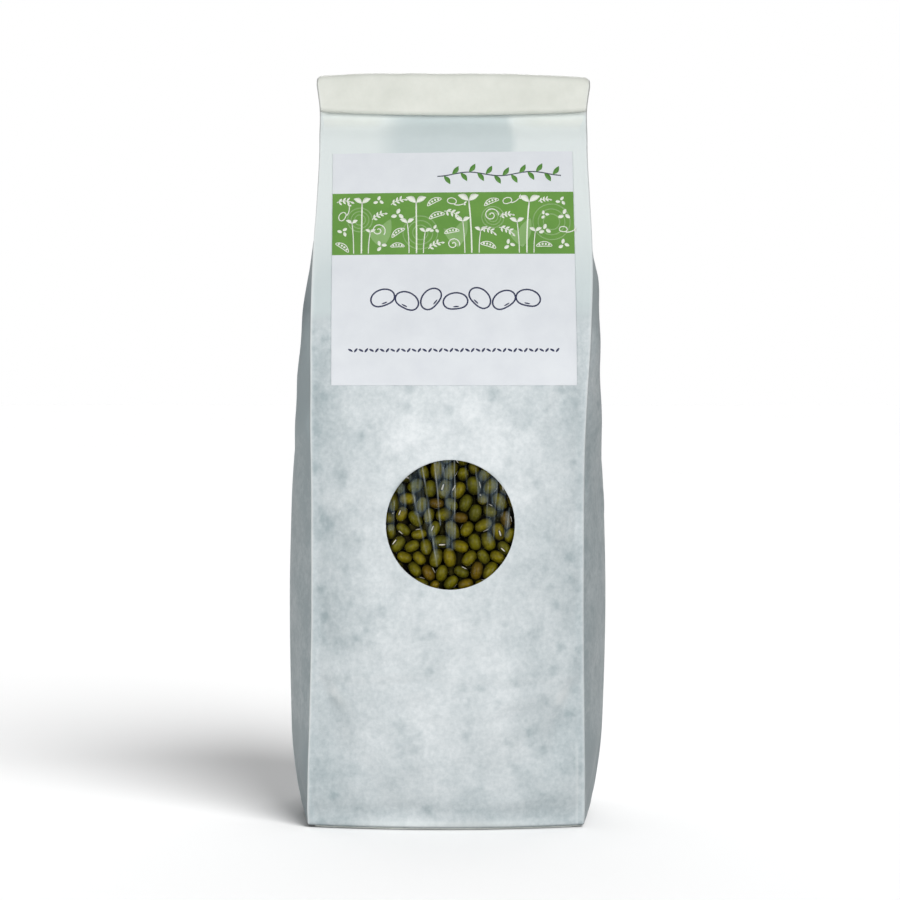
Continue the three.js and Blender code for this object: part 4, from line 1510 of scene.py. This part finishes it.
def make_core(coat):
    """The bulk of the filling: rings of the bag's own section, well inside the coat of beans and
    deeper still behind the window, closed by a point at the bottom and the top. It is painted with
    the full shade between beans, near black."""
    rings = []
    for z in spread((6.5, FILL_HEIGHT - 4, 3.5)):
        ring = filling_ring(z, CORE_INSET)
        near = (1 - ease(WINDOW_HEAP, WINDOW_HEAP + 6, from_window(ring))) * (ring[:, 1] < 0)
        ring[:, 1] += near * (HEAP_DEPTH - 2.0)
        rings.append(ring)
    body, around = np.concatenate(rings), len(rings[0])
    squares = grid_faces(len(rings), around, wrap=True)
    caps = pole_caps(around, len(body) - around, len(body), len(body) + 1)
    points = np.concatenate([body, [rings[0].mean(axis=0), rings[-1].mean(axis=0)]])
    triangles = np.concatenate([squares[:, :3], squares[:, [0, 2, 3]], caps])
    core = new_piece("filling_core", points, triangles, "bean_skin", coat)
    # Full painted shade: the core is drawn near black.
    write_attributes(core, tone=0, depth=1)


# --- Stage ---

FLOOR_HALF = 8000.0
SOFTBOX_MIDDLE = (0, 0, 0.11)  # metres: the softboxes stand one metre from here
SOFTBOX_SIDE = 0.45  # metres
CAMERA_PLACE = (0.7, -674.6, 130.9)
CAMERA_PITCH = 2.0  # degrees down
CAMERA_LENS = 91.24
SENSOR_WIDTH = 36


def add_light(name, azimuth, elevation, energy, angle, shines_on):
    """A sun of the given angle in degrees, or a softbox if it has none. Its azimuth goes from the
    camera's side towards +X."""
    data = bpy.data.lights.new(name, "SUN" if angle else "AREA")
    data.energy = energy
    lamp = bpy.data.objects.new(name, data)
    a, e = math.radians(azimuth), math.radians(elevation)
    towards = Vector((math.sin(a) * math.cos(e), -math.cos(a) * math.cos(e), math.sin(e)))
    lamp.rotation_euler = towards.to_track_quat("Z", "Y").to_euler()
    if angle:
        data.angle = math.radians(angle)
    else:
        data.size = SOFTBOX_SIDE
        lamp.location = Vector(SOFTBOX_MIDDLE) + towards
        lamp.visible_camera = False
    bpy.context.collection.objects.link(lamp)
    lamp.light_linking.receiver_collection = shines_on


def receivers(name, floor, state):
    """A collection that makes a light shine on the floor alone, or on all but the floor."""
    linked = bpy.data.collections.new(name)
    linked.objects.link(floor)
    linked.collection_objects[0].light_linking.link_state = state
    return linked


def make_floor():
    """A level square far larger than what the camera sees. It throws no diffuse light back."""
    corners = np.array([(-1, -1, 0), (1, -1, 0), (1, 1, 0), (-1, 1, 0)]) * FLOOR_HALF * MM
    mesh = bpy.data.meshes.new("floor")
    mesh.from_pydata(corners.tolist(), [], [(0, 1, 2, 3)])
    mesh.materials.append(painted_floor())
    floor = bpy.data.objects.new("floor", mesh)
    floor.visible_diffuse = False
    bpy.context.collection.objects.link(floor)
    return floor


def make_stage(settings):
    """A pale floor, broad soft lights and the camera. The bag and the floor have their own lights,
    so that a long shadow falls to one side of an evenly lit bag."""
    floor = make_floor()
    bag = receivers("all_but_floor", floor, "EXCLUDE")
    only_floor = receivers("only_floor", floor, "INCLUDE")
    key, back, side = settings.key_power, settings.back_strength, settings.shadow_strength
    for light in (
        ("left_softbox", -30, 6, key, None, bag),
        ("right_softbox", 30, 6, key, None, bag),
        ("top_light", 0, 70, 0.4 * back, 40, bag),
        ("back_left_light", -165, 35, back, 45, bag),
        ("back_right_light", 165, 35, back, 45, bag),
        ("floor_side_light", 35, 44, side, 34, only_floor),
        ("floor_back_light", 180, 55, 0.32 * side, 60, only_floor),
        ("floor_top_light", 0, 90, settings.sky_strength, 170, only_floor),
    ):
        add_light(*light)

    world = bpy.data.worlds.new("studio")
    world.use_nodes = True
    tree = world.node_tree
    tree.nodes.clear()
    seen = add_node(tree, "LightPath", out="Is Camera Ray")
    soft = add_node(tree, "Background", {"Color": (1, 1, 1, 1), "Strength": settings.ambient})
    white = add_node(tree, "Background", {"Color": (1, 1, 1, 1), "Strength": 1.0})
    both = add_node(tree, "MixShader", {0: seen, 1: soft, 2: white})
    add_node(tree, "OutputWorld", {"Surface": both})
    bpy.context.scene.world = world
    bpy.context.scene.view_settings.view_transform = "Standard"

    data = bpy.data.cameras.new("camera")
    data.lens = CAMERA_LENS
    data.sensor_width = SENSOR_WIDTH
    data.clip_start = 0.01
    data.clip_end = 50
    camera = bpy.data.objects.new("camera", data)
    camera.location = Vector(CAMERA_PLACE) * MM
    camera.rotation_euler = (math.radians(90 - CAMERA_PITCH), 0, 0)
    bpy.context.collection.objects.link(camera)
    bpy.context.scene.camera = camera


# --- Operators, panel and registration ---


class BEANBAG_OT_paper(Operator):
    """Makes the paper bag, its back seam and its folded bottom"""

    bl_idname = "beanbag.paper"
    bl_label = "Paper bag"

    def execute(self, context):
        make_paper(context.scene.beanbag_paper)
        return {"FINISHED"}


class BEANBAG_OT_film(Operator):
    """Makes the film behind the round hole"""

    bl_idname = "beanbag.film"
    bl_label = "Window film"

    def execute(self, context):
        make_film(context.scene.beanbag_film, context.scene.beanbag_beans.seed)
        return {"FINISHED"}


class BEANBAG_OT_label(Operator):
    """Makes the label and its print"""

    bl_idname = "beanbag.label"
    bl_label = "Label"

    def execute(self, context):
        make_label(context.scene.beanbag_label)
        return {"FINISHED"}


class BEANBAG_OT_beans(Operator):
    """Makes the beans at the window and the rest of the filling"""

    bl_idname = "beanbag.beans"
    bl_label = "Mung beans"

    def execute(self, context):
        make_beans(context.scene.beanbag_beans)
        return {"FINISHED"}


class BEANBAG_OT_stage(Operator):
    """Makes the floor, the lights and the camera"""

    bl_idname = "beanbag.stage"
    bl_label = "Stage"

    def execute(self, context):
        make_stage(context.scene.beanbag_stage)
        return {"FINISHED"}


OPERATORS = (BEANBAG_OT_paper, BEANBAG_OT_film, BEANBAG_OT_label, BEANBAG_OT_beans, BEANBAG_OT_stage)
SETTINGS = {
    "beanbag_paper": BagSettings,
    "beanbag_film": FilmSettings,
    "beanbag_label": LabelSettings,
    "beanbag_beans": BeanSettings,
    "beanbag_stage": StageSettings,
}


class BEANBAG_PT_pieces(Panel):
    """Lists the pieces' settings, each with the button that makes it"""

    bl_label = "Paper Bag of Mung Beans"
    bl_idname = "BEANBAG_PT_pieces"
    bl_space_type = "VIEW_3D"
    bl_region_type = "UI"
    bl_category = "Bean Bag"

    def draw(self, context):
        for operator, (group, settings) in zip(OPERATORS, SETTINGS.items()):
            box = self.layout.box()
            for name in settings.__annotations__:
                box.prop(getattr(context.scene, group), name)
            box.operator(operator.bl_idname)


def register():
    for settings in SETTINGS.values():
        bpy.utils.register_class(settings)
    for operator in OPERATORS:
        bpy.utils.register_class(operator)
    bpy.utils.register_class(BEANBAG_PT_pieces)
    for group, settings in SETTINGS.items():
        setattr(bpy.types.Scene, group, PointerProperty(type=settings))


def unregister():
    for group in SETTINGS:
        delattr(bpy.types.Scene, group)
    bpy.utils.unregister_class(BEANBAG_PT_pieces)
    for made in (*reversed(OPERATORS), *reversed(SETTINGS.values())):
        bpy.utils.unregister_class(made)


def main():
    register()
    bpy.ops.beanbag.paper()
    bpy.ops.beanbag.film()
    bpy.ops.beanbag.label()
    bpy.ops.beanbag.beans()
    bpy.ops.beanbag.stage()


if __name__ == "__main__":
    main()
